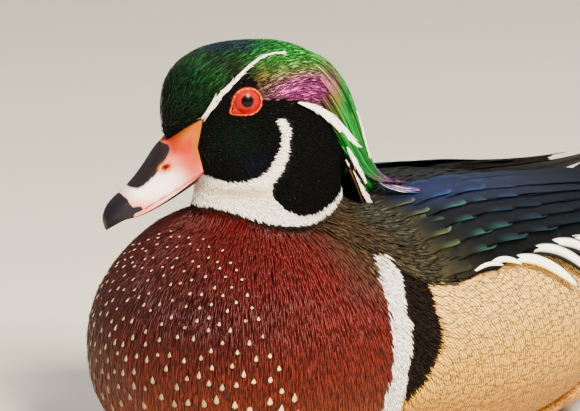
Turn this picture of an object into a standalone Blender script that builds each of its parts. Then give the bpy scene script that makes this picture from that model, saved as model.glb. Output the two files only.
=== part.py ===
"""Life-size still model of a wood duck drake, sitting on its belly as it floats.

Frame: +X runs forward to the breast, +Y to the duck's left, +Z up. The origin lies on the
floor at the middle of the belly. Sizes are millimetres until a mesh is made in metres.
"""

import math

import bmesh
import bpy
from mathutils import Vector

MM = 0.001
# How a mesh is tidied after a Boolean: faces nearer to one plane than an angle in degrees are
# joined, and points nearer than a distance in metres are made one. All pairs are tried.
TIDY_ANGLES = (1.8, 1.5, 1.2, 0.8, 0.4, 0.0)
TIDY_DISTANCES = (0.0001, 0.00005, 0.00002, 0.000005)
GAP = 0.35            # kept between two nodes that touch
# Powers of the body's ring above and below its widest place: 1 is an ellipse, less is squarer
ROUND_TOP = 0.94
ROUND_UNDER = 0.86

# The body, from the breast to the tail root: place along X, half width,
# underside, height of the widest place, and back
TORSO = (
    (115, 0.0, 42, 42, 42),
    (112.5, 14, 28, 42, 55),
    (107.5, 29, 16, 42, 66),
    (98, 43, 7, 43, 77),
    (84, 54.5, 1, 44, 87.5),
    (66, 63, -3, 45, 95.5),
    (44, 68.5, -4, 46, 96.5),
    (15, 71, -4, 46, 97),
    (-20, 71, -4, 46, 99),
    (-55, 67, -1, 48, 95),
    (-85, 56, 9, 52, 89),
    (-108, 42, 24, 57, 85),
    (-124, 29, 39, 62, 82),
    (-136, 15, 52, 67, 78),
    (-140, 0.0, 66, 66, 66),
)
# The surface that the folded wings lie on: the body, carried on over the rump
CLOAK = (
    (84, 54.5, 1, 44, 87.5),
    (66, 63, -3, 45, 95.5),
    (44, 68.5, -4, 46, 96.5),
    (15, 71, -4, 46, 97),
    (-20, 71, -4, 46, 99),
    (-55, 67, -1, 48, 95.5),
    (-85, 58, 9, 51, 91.5),
    (-108, 48, 20, 54, 90),
    (-130, 39, 30, 58, 91),
    (-155, 30, 42, 66, 95),
    (-180, 22, 60, 76, 101),
)
TORSO_RINGS = 26
TORSO_TURNS = 28
BELLY = 0.0           # level of the flat that the body rests on

# The head has a frame of its own: forward along the bill, left, and up from the eye
HEAD_PLACE = Vector((58, -3, 137))
HEAD_YAW = math.radians(-22)
# Rings of the head and neck: height, front, rear, half width, widest place,
# and the power of the front half, which is 1 for round and more for pointed
HEAD = (
    (-29, 15.5, -37, 23.5, -11, 1.0),
    (-26, 15.5, -38, 23, -11, 1.05),
    (-21, 19, -39.5, 22, -11, 1.3),
    (-13, 25.5, -41.5, 20.5, -10, 1.5),
    (-5, 29, -42, 19.5, -9, 1.35),
    (4, 28.8, -40, 18.3, -8, 1.15),
    (11, 25.5, -35, 16.2, -7, 1.0),
    (16.5, 19.5, -28, 12.8, -6, 1.0),
    (20, 11, -18.5, 7.6, -5, 1.0),
    (21.2, -4, -4, 0.0, -4, 1.0),
)
NECK = (
    (-29, 15.5, -37, 23.5, -11, 1.0),
    (-34, 16.0, -37.5, 24.2, -11, 1.0),
    (-40, 17.0, -38.5, 25.2, -11, 1.0),
    (-46, 18.5, -40, 26.5, -11, 1.0),
    (-60, 22, -43, 29, -11, 1.0),
)
HEAD_TURNS = 26
HEAD_RINGS = 16
NECK_RINGS = 6

# The bill: culmen point and gape point (forward, up), and half width, root to tip
BILL = (
    ((21, -9), (6, -25), 9.0),
    ((26, -11.5), (10, -26), 10.2),
    ((30.7, -17.6), (15.5, -28), 10.0),
    ((35, -24.3), (23, -32.5), 8.9),
    ((39, -29.6), (30, -36.8), 8.1),
    ((43, -33.6), (36, -41), 7.8),
    ((47, -37.2), (41.5, -44.6), 7.6),
    ((50.3, -41), (46.2, -47.4), 6.4),
    ((52, -44.8), (49, -48.8), 3.4),
    ((51.6, -47.8), (50, -49.4), 0.8),
)
BILL_RINGS = 12
NAIL_START = 0.70     # share of the bill's length where the black nail begins
LOWER_START = 0.06
LOWER_END = 0.84
LOWER_DEPTH = 3.4
NOSTRIL = Vector((29.5, 6.6, -24.0))
NOSTRIL_SIZE = (3.0, 1.6)

EYE_PLACE = Vector((0.5, 13.6, 0.0))
EYE_RADIUS = 6.0
EYE_OUT = Vector((0.16, 1.0, 0.05))     # the way the left eye looks, in the head's frame
LID_OPENING = math.radians(46)
LID_WIDTH = math.radians(17)
LID_THICK = 1.3

VANE_ROOT = 1.9       # a vane's middle lies this far off the body where it is rooted
VANE_THICK = 0.8
VANE_ROLL = 0.1       # slope that puts each vane's edge under its neighbour
PLATE = (0.95, 2.5)    # a plate's two faces, as heights off the body
# Half widths along a vane, as shares of its widest
ROUND_VANE = (0.55, 0.86, 1.0, 0.97, 0.82, 0.3)
LONG_VANE = (0.6, 0.95, 1.0, 0.9, 0.66, 0.14)
LONG_TAIL = (0.4, 0.7, 0.9, 1.0, 0.95, 0.3)
LOCK_SHAPE = (0.5, 0.9, 1.0, 0.95, 0.75, 0.12)
# Tiers of a folded wing: place along X, first and last turn in degrees, how many,
# length, width, rise of the tip, outline, and how far they point inward in degrees
WING_TIERS = (
    (22, 37, 45, 2, 34, 17, 2.7, ROUND_VANE, 0),
    (4, 33, 56, 3, 36, 20, 2.7, ROUND_VANE, 0),
    (-17, 30, 56, 3, 40, 20, 2.8, ROUND_VANE, 1),
    (-38, 25, 39, 2, 44, 20, 3.0, ROUND_VANE, 2),
    (-40, 49, 57, 2, 54, 15, 3.0, LONG_VANE, 2),
    (-56, 26, 44, 3, 66, 19, 3.6, LONG_VANE, 1),
    (-78, 37, 53, 3, 76, 13, 1.4, LONG_VANE, 2),
)
# Tiers of the flank: its golden feathers
FLANK_TIERS = (
    (20, 82, 119, 3, 40, 27, 2.7, ROUND_VANE, 3),
    (-10, 82, 119, 3, 40, 27, 2.7, ROUND_VANE, 3),
    (-38, 82, 116, 3, 40, 26, 2.7, ROUND_VANE, 3),
    (-64, 83, 106, 2, 38, 26, 2.7, ROUND_VANE, 3),
)
# The white and the black bar before them
BAR_TIERS = (
    (43, 59, 120, 4, 17, 22, 2.6, ROUND_VANE, 0),
    (32, 66, 120, 4, 17, 20, 2.6, ROUND_VANE, 0),
)
LONG_LENGTH = 50      # a vane longer than this has more steps along it
WIDE_VANE = 20        # a vane wider than this is bent round the body
WING_EDGE = 65.5      # turn in degrees of the wing's lowest reach, just over the flank's
FLANK_EDGE = 66.6
BAR_EDGE = 47

# The tail: its root stub, its slope, and a fan of feathers with the middle one on top
TAIL_PLACE = Vector((-124, 0, 78.5))
TAIL_SLOPE = math.radians(14)
TAIL_PAIRS = 6
TAIL_LENGTH = 101
TAIL_WIDTH = 15.5
TAIL_STEP = 1.1       # each pair lies this far under the last
TAIL_SPREAD = math.radians(2.3)
TAIL_SHORTER = 3.2    # each pair is this much shorter than the last

# The mane of the crest: height, rear outline, half width and middle, crown to tip
MANE = (
    (17.5, -24, 9, -12),
    (12, -35, 12, -18),
    (3, -42.5, 14.5, -24),
    (-8, -47, 15.5, -30),
    (-19, -50, 14.5, -36),
    (-29, -54, 11.5, -43),
    (-35, -60, 7.5, -52),
    (-37.6, -70, 3, -64),
)
# Rows of crest locks: start and end along the mane, spread in degrees, how many, depth, width
CREST_ROWS = (
    (0.0, 1.0, 50, 5, 0.0, 8.5),
    (0.26, 0.93, 66, 5, 2.4, 10.0),
    (0.48, 0.84, 80, 4, 4.8, 10.0),
)
LOCK_THICK = 0.8
LOCK_STEP = 1.2       # every second lock of a row lies this much deeper
LOCK_SINK = 2.5

FOOT_PLACE = (-28, 41)
FOOT_TURN = math.radians(10)
TOES = ((-24, 40), (0, 50), (25, 43))   # turn in degrees and length of each front toe
TOE_RADIUS = 2.3
WEB_THICK = 1.3
WEB_LIFT = 0.35
TOE_STEP = 0.05       # the toes' flats differ by this, so that no two lie in one plane
WEB_SCALLOP = 0.95    # how far the web's front edge reaches between two toes
CLAW_REACH = 1.06     # claw tip, as a share of the toe's length


def clear_scene():
    for thing in list(bpy.data.objects):
        bpy.data.objects.remove(thing, do_unlink=True)


def smooth_value(values, place):
    """A smooth curve through evenly spaced values, read at a place between them."""
    last = len(values) - 1
    index = min(max(int(place), 0), last - 1)
    t = place - index
    before = values[max(index - 1, 0)]
    start, end = values[index], values[index + 1]
    after = values[min(index + 2, last)]
    slope_start = (end - before) / 2
    slope_end = (after - start) / 2
    blend = 3 * t * t - 2 * t ** 3
    ease_in = t ** 3 - 2 * t * t + t
    ease_out = t ** 3 - t * t
    return start + (end - start) * blend + slope_start * ease_in + slope_end * ease_out


def smooth_row(table, place):
    """Every column of a table of stations, read at one place along it."""
    return [smooth_value([row[i] for row in table], place) for i in range(len(table[0]))]


def place_of(table, wanted):
    """The place along a table where its first column, which falls or rises, has a value."""
    low, high = 0.0, len(table) - 1.0
    rising = table[-1][0] > table[0][0]
    for _ in range(40):
        middle = (low + high) / 2
        if (smooth_row(table, middle)[0] < wanted) == rising:
            low = middle
        else:
            high = middle
    return (low + high) / 2


def signed_power(value, power):
    return math.copysign(abs(value) ** power, value)


def make_material(name, colour, roughness, metallic=0.0):
    """A Principled material from a colour in sRGB hex."""
    channels = [int(colour[i:i + 2], 16) / 255 for i in (1, 3, 5)]
    linear = [c / 12.92 if c <= 0.04045 else ((c + 0.055) / 1.055) ** 2.4 for c in channels]
    material = bpy.data.materials.new(name)
    material.use_nodes = True
    shader = material.node_tree.nodes["Principled BSDF"]
    shader.inputs["Base Color"].default_value = (*linear, 1.0)
    shader.inputs["Roughness"].default_value = roughness
    shader.inputs["Metallic"].default_value = metallic
    material.diffuse_color = (*linear, 1.0)
    return material


def make_object(name, points, faces):
    """A mesh object from points in millimetres, closed and facing out."""
    mesh = bpy.data.meshes.new(name)
    bm = bmesh.new()
    verts = [bm.verts.new(Vector(point) * MM) for point in points]
    for face in faces:
        bm.faces.new([verts[i] for i in face])
    bmesh.ops.recalc_face_normals(bm, faces=bm.faces)
    bm.to_mesh(mesh)
    bm.free()
    thing = bpy.data.objects.new(name, mesh)
    bpy.context.scene.collection.objects.link(thing)
    return thing


def loft(name, rings, start_pole=False, end_pole=False):
    """A closed skin over rings of equal count. A pole is a ring drawn to its middle."""
    points, faces, count = [], [], len(rings[0])
    rows = []
    for number, ring in enumerate(rings):
        pole = (number == 0 and start_pole) or (number == len(rings) - 1 and end_pole)
        if pole:
            middle = sum((Vector(p) for p in ring), Vector()) / count
            rows.append([len(points)])
            points.append(middle)
        else:
            rows.append(list(range(len(points), len(points) + count)))
            points.extend(ring)
    for low, high in zip(rows, rows[1:]):
        for i in range(count):
            j = (i + 1) % count
            if len(low) == 1:
                faces.append((low[0], high[i], high[j]))
            elif len(high) == 1:
                faces.append((low[i], low[j], high[0]))
            else:
                faces.append((low[i], low[j], high[j]))
                faces.append((low[i], high[j], high[i]))
    for row in (rows[0], rows[-1]):
        if len(row) > 1:
            faces.append(tuple(row))
    return make_object(name, points, faces)


def tidied(mesh, degrees, distance):
    """A mesh with its flat places and near points joined."""
    bm = bmesh.new()
    bm.from_mesh(mesh)
    flat = math.radians(degrees)
    bmesh.ops.dissolve_limit(bm, angle_limit=flat, verts=bm.verts, edges=bm.edges)
    bmesh.ops.triangulate(bm, faces=bm.faces)
    bmesh.ops.dissolve_degenerate(bm, dist=distance, edges=bm.edges)
    bmesh.ops.remove_doubles(bm, verts=bm.verts, dist=distance)
    bmesh.ops.triangulate(bm, faces=bm.faces)
    return bm


def best_tidied(mesh):
    """The tidied mesh with the fewest faces of those that stay closed."""
    best = None
    for degrees in TIDY_ANGLES:
        for distance in TIDY_DISTANCES:
            bm = tidied(mesh, degrees, distance)
            closed = all(len(edge.link_faces) == 2 for edge in bm.edges)
            if closed and (best is None or len(bm.faces) < len(best.faces)):
                best, bm = bm, best
            if bm is not None:
                bm.free()
    return best or tidied(mesh, 0.0, TIDY_DISTANCES[-1])


def keep_largest(thing):
    """Leaves an object only its largest closed surface."""
    bm = best_tidied(thing.data)
    groups, seen = [], set()
    for face in bm.faces:
        if face in seen:
            continue
        group, waiting = [], [face]
        seen.add(face)
        while waiting:
            current = waiting.pop()
            group.append(current)
            for edge in current.edges:
                for other in edge.link_faces:
                    if other not in seen:
                        seen.add(other)
                        waiting.append(other)
        groups.append(group)
    groups.sort(key=lambda group: sum(face.calc_area() for face in group), reverse=True)
    loose = [face for group in groups[1:] for face in group]
    bmesh.ops.delete(bm, geom=loose, context="FACES")
    bm.to_mesh(thing.data)
    bm.free()


def combine(thing, others, operation):
    """Joins or cuts an object with closed objects, which are then removed."""
    group = bpy.data.collections.new(thing.name + "_tools")
    bpy.context.scene.collection.children.link(group)
    for other in others:
        bpy.context.scene.collection.objects.unlink(other)
        group.objects.link(other)
    boolean = thing.modifiers.new("combine", "BOOLEAN")
    boolean.operation = operation
    boolean.operand_type = "COLLECTION"
    boolean.collection = group
    boolean.solver = "EXACT"
    bpy.context.view_layer.update()
    evaluated = thing.evaluated_get(bpy.context.evaluated_depsgraph_get())
    result = bpy.data.meshes.new_from_object(evaluated)
    thing.modifiers.clear()
    old = thing.data
    thing.data = result
    bpy.data.meshes.remove(old)
    for other in others:
        bpy.data.objects.remove(other, do_unlink=True)
    bpy.data.collections.remove(group)
    keep_largest(thing)
    return thing


def join_pieces(thing, pieces):
    return combine(thing, pieces, "UNION")


def cut_away(thing, cutters):
    return combine(thing, cutters, "DIFFERENCE")


def finish(thing, material, smooth_angle=40):
    """Gives a node its material and shades its round faces smooth."""
    thing.data.materials.clear()
    thing.data.materials.append(material)
    thing.data.shade_smooth()
    thing.data.set_sharp_from_angle(angle=math.radians(smooth_angle))
    return thing


# The body's surface

def ring_point(x, half, heights, turn, grow=0.0):
    """A point of the body's ring, from its half width and its three heights."""
    low, middle, top = heights
    side, height = math.sin(turn), math.cos(turn)
    reach = (top - middle if height > 0 else middle - low) + grow
    power = ROUND_TOP if height > 0 else ROUND_UNDER
    return Vector((x, (half + grow) * signed_power(side, power),
                   middle + reach * signed_power(height, power)))


def body_flat(table, x, turn):
    """A point of the body's ring at X, where turn 0 is the back and 90 the left side."""
    _, half, low, middle, top = smooth_row(table, place_of(table, x))
    return ring_point(x, half, (low, middle, top), turn)


def body_point(table, x, turn, lift=0.0):
    """A point of the body's surface, lifted off it along the normal."""
    point = body_flat(table, x, turn)
    along = body_flat(table, x + 1.5, turn) - body_flat(table, x - 1.5, turn)
    around = body_flat(table, x, turn + 0.03) - body_flat(table, x, turn - 0.03)
    normal = along.cross(around).normalized()
    outward = Vector((0, math.sin(turn), math.cos(turn)))
    if normal.dot(outward) < 0:
        normal.negate()
    return point + normal * lift


def torso_rings(grow):
    """The body's rings, grown evenly for a cutter."""
    rings = []
    last = len(TORSO) - 1
    for number in range(TORSO_RINGS + 1):
        place = last * number / TORSO_RINGS
        x, half, low, middle, top = smooth_row(TORSO, place)
        ring = []
        for step in range(TORSO_TURNS):
            turn = 2 * math.pi * step / TORSO_TURNS
            point = ring_point(x, half, (low, middle, top), turn, grow)
            if not grow:
                point.z = max(point.z, BELLY)
            ring.append(point)
        rings.append(ring)
    return rings


# The head's frame and its rings

def from_head(forward, left, up):
    """A point of the head's frame, in the model's."""
    c, s = math.cos(HEAD_YAW), math.sin(HEAD_YAW)
    return HEAD_PLACE + Vector((forward * c - left * s, forward * s + left * c, up))


def head_rings(table, count, turns, grow=0.0):
    rings = []
    last = len(table) - 1
    for number in range(count + 1):
        place = last * number / count
        up, front, rear, half, widest, power = smooth_row(table, place)
        ring = []
        for step in range(turns):
            turn = 2 * math.pi * step / turns
            c, s = math.cos(turn), math.sin(turn)
            if c >= 0:
                forward = widest + (front + grow - widest) * c ** power
                left = (half + grow) * signed_power(s, power)
            else:
                forward = widest - (widest - rear + grow) * (-c) ** 0.92
                left = (half + grow) * signed_power(s, 0.92)
            ring.append(from_head(forward, left, up))
        rings.append(ring)
    return rings


# The bill

def bill_station(share):
    """Culmen, gape and half width at a share of the bill's length."""
    place = share * (len(BILL) - 1)
    culmen = Vector([smooth_value([row[0][i] for row in BILL], place) for i in (0, 1)])
    gape = Vector([smooth_value([row[1][i] for row in BILL], place) for i in (0, 1)])
    half = smooth_value([row[2] for row in BILL], place)
    return culmen, gape, half


def bill_upper_ring(share, grow=0.0):
    culmen, gape, half = bill_station(share)
    rise = culmen - gape
    unit = rise.normalized()
    gape = gape - unit * grow
    rise = rise + unit * 2 * grow
    ring = []
    for step in range(13):
        turn = math.pi * step / 12
        left = (half + grow) * signed_power(math.cos(turn), 0.62)
        height = math.sin(turn) ** 0.85
        point = gape + rise * height
        ring.append(from_head(point.x, left, point.y))
    ring.append(from_head(gape.x, -half * 0.4, gape.y))
    ring.append(from_head(gape.x, half * 0.4, gape.y))
    return ring


def bill_length_ring(start, end, count, grow=0.0):
    return [bill_upper_ring(start + (end - start) * i / count, grow) for i in range(count + 1)]


def bill_lower_ring(share, grow=0.0):
    culmen, gape, half = bill_station(share)
    down = (gape - culmen).normalized()
    top = gape + down * (GAP - grow)
    reach = (LOWER_DEPTH * (1 - 0.55 * share)) + 2 * grow
    half = half * 0.93 + grow - 0.2
    ring = []
    for step in range(9):
        turn = math.pi * step / 8
        left = half * signed_power(math.cos(turn), 0.7)
        point = top + down * reach * math.sin(turn) ** 0.8
        ring.append(from_head(point.x, left, point.y))
    ring.append(from_head(top.x, -half * 0.4, top.y))
    ring.append(from_head(top.x, half * 0.4, top.y))
    return ring


def nostril_cutter(side):
    """An oval bar that sinks a nostril into one side of the bill."""
    rings = []
    for depth in (-2.6, 3.5):
        ring = []
        for step in range(12):
            turn = 2 * math.pi * step / 12
            along = NOSTRIL_SIZE[0] * math.cos(turn)
            rise = NOSTRIL_SIZE[1] * math.sin(turn)
            forward = NOSTRIL.x + along * 0.8 + rise * 0.6
            up = NOSTRIL.z - along * 0.6 + rise * 0.8
            ring.append(from_head(forward, side * (NOSTRIL.y + depth), up))
        rings.append(ring)
    return loft("nostril", rings)


# The eyes

def eye_axes(side):
    """The left or right eye's centre, and three axes: out, forward and up."""
    out = Vector((EYE_OUT.x, side * EYE_OUT.y, EYE_OUT.z))
    centre = from_head(EYE_PLACE.x, side * EYE_PLACE.y, EYE_PLACE.z)
    zero = from_head(0, 0, 0)
    out = (from_head(*out) - zero).normalized()
    up = Vector((0, 0, 1))
    forward = up.cross(out) * (1 if side < 0 else -1)
    forward.normalize()
    up = out.cross(forward) * (1 if side > 0 else -1)
    return centre, out, forward, up.normalized()


def eye_ball(name, side, radius):
    centre, out, forward, up = eye_axes(side)
    rings = []
    for step in range(9):
        turn = math.pi * step / 8
        ring = []
        for around in range(16):
            angle = 2 * math.pi * around / 16
            flat = forward * math.cos(angle) + up * math.sin(angle)
            ring.append(centre + (out * math.cos(turn) + flat * math.sin(turn)) * radius)
        rings.append(ring)
    return loft(name, rings, start_pole=True, end_pole=True)


def lid_ring(name, side, inner, outer, narrow, wide):
    """A ring of lid round the eye, drawn out to a corner at its front and lower edge."""
    centre, out, forward, up = eye_axes(side)
    count = 20
    points, faces = [], []
    for step in range(count):
        angle = 2 * math.pi * step / count
        corner = max(0.0, math.cos(angle - math.radians(-38))) ** 6
        flat = forward * math.cos(angle) + up * math.sin(angle)
        near = LID_OPENING - narrow
        far = LID_OPENING + LID_WIDTH + math.radians(9) * corner + wide
        middle = (near + far) / 2
        crest = outer + 0.25
        for reach, turn in ((inner, near), (outer - 0.3, near), (crest, middle),
                            (outer - 0.2, far), (inner, far)):
            points.append(centre + (out * math.cos(turn) + flat * math.sin(turn)) * reach)
    rows = 5
    for step in range(count):
        following = (step + 1) % count
        for i in range(rows):
            j = (i + 1) % rows
            a, b = step * rows + i, step * rows + j
            c, d = following * rows + j, following * rows + i
            faces.append((a, b, c))
            faces.append((a, c, d))
    return make_object(name, points, faces)


# The feathers

def surface_patch(name, table, x_start, x_end, upper, lower, counts):
    """A closed plate that lies on the body between two lines of turn."""
    along_count, across_count = counts
    points, faces = [], []
    sheets = []
    for sheet in (0, 1):
        rows = []
        for i in range(along_count + 1):
            share = i / along_count
            x = x_start + (x_end - x_start) * share
            row = []
            for j in range(across_count + 1):
                across = j / across_count
                turn = upper(share) + (lower(share) - upper(share)) * across
                row.append(len(points))
                points.append(body_point(table, x, turn, PLATE[sheet]))
            rows.append(row)
        sheets.append(rows)
    inner, outer = sheets
    for rows in sheets:
        for i in range(along_count):
            for j in range(across_count):
                faces.append((rows[i][j], rows[i + 1][j], rows[i][j + 1]))
                faces.append((rows[i + 1][j], rows[i + 1][j + 1], rows[i][j + 1]))
    rim = [(i, 0) for i in range(along_count + 1)]
    rim += [(along_count, j) for j in range(1, across_count + 1)]
    rim += [(i, across_count) for i in range(along_count - 1, -1, -1)]
    rim += [(0, j) for j in range(across_count - 1, 0, -1)]
    for (a, b), (c, d) in zip(rim, rim[1:] + rim[:1]):
        faces.append((inner[a][b], inner[c][d], outer[c][d]))
        faces.append((inner[a][b], outer[c][d], outer[a][b]))
    return make_object(name, points, faces)


def degrees_line(*values):
    """A line of turn along a patch, from evenly spaced values in degrees."""
    return lambda share: math.radians(smooth_value(values, share * (len(values) - 1)))


def mirror(thing, name):
    """A copy of a left piece on the right side."""
    mesh = thing.data.copy()
    for vert in mesh.vertices:
        vert.co.y = -vert.co.y
    mesh.flip_normals()
    copy = bpy.data.objects.new(name, mesh)
    bpy.context.scene.collection.objects.link(copy)
    return copy


def strip(name, place, count, profile, size, columns=2):
    """A thin closed vane: place gives a point for a share along, across and up off its middle."""
    half, thick = size
    points, faces = [], []
    sides = 2 * columns
    for i in range(count + 1):
        share = i / count
        width = half * smooth_value(profile, share * (len(profile) - 1))
        body = thick * (1 - 0.35 * share) / 2
        spots = [width * (2 * j / (columns - 1) - 1) for j in range(columns)]
        points += [place(share, spot, body) for spot in spots]
        points += [place(share, spot, -body) for spot in reversed(spots)]
    for i in range(count):
        a, b = sides * i, sides * (i + 1)
        for j in range(columns - 1):
            faces += [(a + j, b + j, b + j + 1), (a + j, b + j + 1, a + j + 1)]
            k = sides - 2 - j
            faces += [(a + k + 1, b + k, b + k + 1), (a + k + 1, a + k, b + k)]
        edge = columns - 1
        faces += [(a + edge, b + edge, b + edge + 1), (a + edge, b + edge + 1, a + edge + 1)]
        faces += [(a, a + sides - 1, b + sides - 1), (a, b + sides - 1, b)]
    for a in (0, sides * count):
        for j in range(columns - 1):
            k = sides - 1 - j
            faces += [(a + j, a + j + 1, a + k - 1), (a + j, a + k - 1, a + k)]
    return make_object(name, points, faces)


def body_vane(table, x, turn, limits, shape):
    """A vane that lies back along the body from its root and rises off it to its tip."""
    length, width, rise, profile, inward = shape
    aim = math.radians(inward)
    low, high = limits
    count = 3 if length < LONG_LENGTH else 5

    def place(share, across, up):
        along = length * share
        spot_x = x - along * math.cos(aim) + across * math.sin(aim)
        girth = (body_flat(table, spot_x, turn + 0.1) - body_flat(table, spot_x, turn - 0.1)).length
        spot_turn = turn + (across * math.cos(aim) - along * math.sin(aim)) / (girth / 0.2)
        spot_turn = min(max(spot_turn, low), high)
        tilt = VANE_ROLL * across * share
        return body_point(table, spot_x, spot_turn, VANE_ROOT + rise * share + tilt + up)
    columns = 3 if width > WIDE_VANE else 2
    return strip("vane", place, count, profile, (width / 2, VANE_THICK), columns)


def tier_vanes(table, tiers, limits):
    vanes = []
    for x, first, last, count, length, width, rise, profile, inward in tiers:
        for number in range(count):
            share = number / max(count - 1, 1)
            turn = math.radians(first + (last - first) * share)
            size = 1 + 0.05 * math.sin(7.1 * number + x)
            shape = (length * size, width, rise, profile, inward)
            vanes.append(body_vane(table, x + 3 * math.sin(5.3 * number), turn, limits, shape))
    return vanes


def wing(name):
    """A folded wing: a plate that lies on the body, and its tiers of vanes."""
    upper = degrees_line(34, 28, 25, 22, 22)
    lower = degrees_line(47, 64, 64, 63, 62)
    plate = surface_patch(name, CLOAK, 28, -92, upper, lower, (8, 4))
    limits = (math.radians(16), math.radians(WING_EDGE))
    return join_pieces(plate, tier_vanes(CLOAK, WING_TIERS, limits))


def flank(name):
    """The side's plumage: a plate on the body, the two bars and the golden feathers."""
    upper = degrees_line(48, 49, 66, 68, 68, 68, 68, 68, 68)
    lower = degrees_line(122, 126, 127, 127, 127, 126, 123, 118, 110)
    plate = surface_patch(name, TORSO, 46, -88, upper, lower, (9, 6))
    bars = tier_vanes(TORSO, BAR_TIERS, (math.radians(BAR_EDGE), math.radians(134)))
    golden = tier_vanes(TORSO, FLANK_TIERS, (math.radians(FLANK_EDGE), math.radians(134)))
    return join_pieces(plate, bars + golden)


def tail_point(along, across, up):
    back = Vector((-math.cos(TAIL_SLOPE), 0, math.sin(TAIL_SLOPE)))
    rise = Vector((math.sin(TAIL_SLOPE), 0, math.cos(TAIL_SLOPE)))
    return TAIL_PLACE + back * along + rise * up + Vector((0, across, 0))


def tail_stub(name, grow=0.0):
    """The tail's fleshy root, which the tail feathers and their coverts grow from."""
    rings = []
    for along, half, thick in ((-grow, 10, 4.6), (8, 13, 5.4), (16, 14, 5.4), (24, 13, 4.6),
                               (30 + grow, 10, 3.2)):
        ring = []
        for step in range(12):
            turn = 2 * math.pi * step / 12
            ring.append(tail_point(along, (half + grow) * signed_power(math.cos(turn), 0.8),
                                   (thick + grow) * signed_power(math.sin(turn), 0.8)))
        rings.append(ring)
    return loft(name, rings)


def tail_vane(start, length, width, height, turn, lift, droop):
    """One tail feather, turned out by an angle in the fan."""
    def place(share, across, up):
        along = start + length * share
        out = along * math.tan(turn) + across
        return tail_point(along * math.cos(turn), out,
                          height + lift * share - droop * share * share + up)
    return strip("tail_vane", place, 4, LONG_TAIL, (width / 2, VANE_THICK))


def tail(name):
    stub = tail_stub(name)
    top = TAIL_STEP * TAIL_PAIRS / 2
    vanes = [tail_vane(6, TAIL_LENGTH, TAIL_WIDTH, top, 0.0, 0.0, 2.5)]
    for pair in range(1, TAIL_PAIRS + 1):
        for side in (1, -1):
            vanes.append(tail_vane(6, TAIL_LENGTH - TAIL_SHORTER * pair, TAIL_WIDTH,
                                   top - TAIL_STEP * pair, side * TAIL_SPREAD * pair, 0.0, 2.5))
    for number in range(5):
        turn = math.radians(5.0) * (number - 2)
        layer = abs(number - 2)
        vanes.append(tail_vane(14, 46 - 5 * layer, 12, 4.3 - 0.6 * layer, turn, 3.0, 2.2))
        vanes.append(tail_vane(12, 58 - 6 * layer, 13, -4.2 + 0.5 * layer, turn, -3.6, -1.5))
    return join_pieces(stub, vanes)


def mane_point(share, turn, depth):
    """A point of the mane: turn 0 is the nape's middle line and 90 the left side."""
    up, rear, half, middle = smooth_row(MANE, share * (len(MANE) - 1))
    reach = middle - rear - depth
    return Vector((middle - reach * math.cos(turn), (half - depth) * math.sin(turn), up))


def crest_locks():
    """Rows of flat tapered locks that lie back from the crown over the nape."""
    locks = []
    for start, end, spread, count, depth, width in CREST_ROWS:
        for number in range(count):
            side = 2 * number / (count - 1) - 1
            turn = math.radians(spread) * side
            last = end - 0.07 * abs(side) - 0.02 * math.sin(9 * number + depth)
            layer = depth + LOCK_STEP * (number % 2)

            def place(share, across, up):
                along = start + (last - start) * share
                sunk = LOCK_SINK * max(0.0, 1 - 5 * share)
                spot = mane_point(along, turn, layer + sunk)
                edge = Vector((math.sin(turn), math.cos(turn), 0))
                out = Vector((-math.cos(turn), math.sin(turn), 0.25)).normalized()
                spot += edge * across + out * up
                return from_head(*spot)
            locks.append(strip("lock", place, 4, LOCK_SHAPE, (width / 2, LOCK_THICK)))
    return locks


# The legs and feet

def tube(name, path, sides=8, floor=None):
    """A round limb through points with radii, flattened where it meets the floor."""
    rings = []
    for number, (point, radius) in enumerate(path):
        before = Vector(path[max(number - 1, 0)][0])
        after = Vector(path[min(number + 1, len(path) - 1)][0])
        ahead = (after - before).normalized()
        side = ahead.cross(Vector((0, 0, 1))).normalized()
        up = side.cross(ahead)
        ring = []
        for step in range(sides):
            turn = 2 * math.pi * (step + 0.5) / sides
            spot = Vector(point) + (side * math.cos(turn) + up * math.sin(turn)) * radius
            if floor is not None:
                spot.z = max(spot.z, floor)
            ring.append(spot)
        rings.append(ring)
    return loft(name, rings)


def foot_point(along, across, up):
    c, s = math.cos(FOOT_TURN), math.sin(FOOT_TURN)
    return Vector((FOOT_PLACE[0] + along * c - across * s,
                   FOOT_PLACE[1] + along * s + across * c, up))


def web_outline():
    """The web's outline between the toes, scalloped at its front."""
    points = [(-2, -3.5), (-2, 3.5)]
    tips = []
    for degrees, length in reversed(TOES):
        turn = math.radians(degrees)
        reach = length - 3
        tips.append((reach * math.cos(turn), reach * math.sin(turn)))
    for number, tip in enumerate(tips):
        points.append(tip)
        if number < len(tips) - 1:
            ahead = tips[number + 1]
            points.append(((tip[0] + ahead[0]) * WEB_SCALLOP / 2,
                           (tip[1] + ahead[1]) * WEB_SCALLOP / 2))
    return points


def foot_space_outline():
    """The outline of the hollow under the body that the foot lies in."""
    margin = TOE_RADIUS + 2 * GAP
    points = [(-3, -2 * margin), (-3, 2 * margin)]
    for degrees, length in reversed(TOES):
        turn = math.radians(degrees)
        reach = length * CLAW_REACH + margin
        for side in (1, -1):
            points.append((reach * math.cos(turn) - side * margin * math.sin(turn),
                           reach * math.sin(turn) + side * margin * math.cos(turn)))
    return points


def prism(name, outline, low, high):
    count = len(outline)
    points = [foot_point(a, b, low) for a, b in outline]
    points += [foot_point(a, b, high) for a, b in outline]
    faces = [tuple(range(count)), tuple(range(count, 2 * count))]
    for i in range(count):
        j = (i + 1) % count
        faces.append((i, j, count + j, count + i))
    return make_object(name, points, faces)


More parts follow.
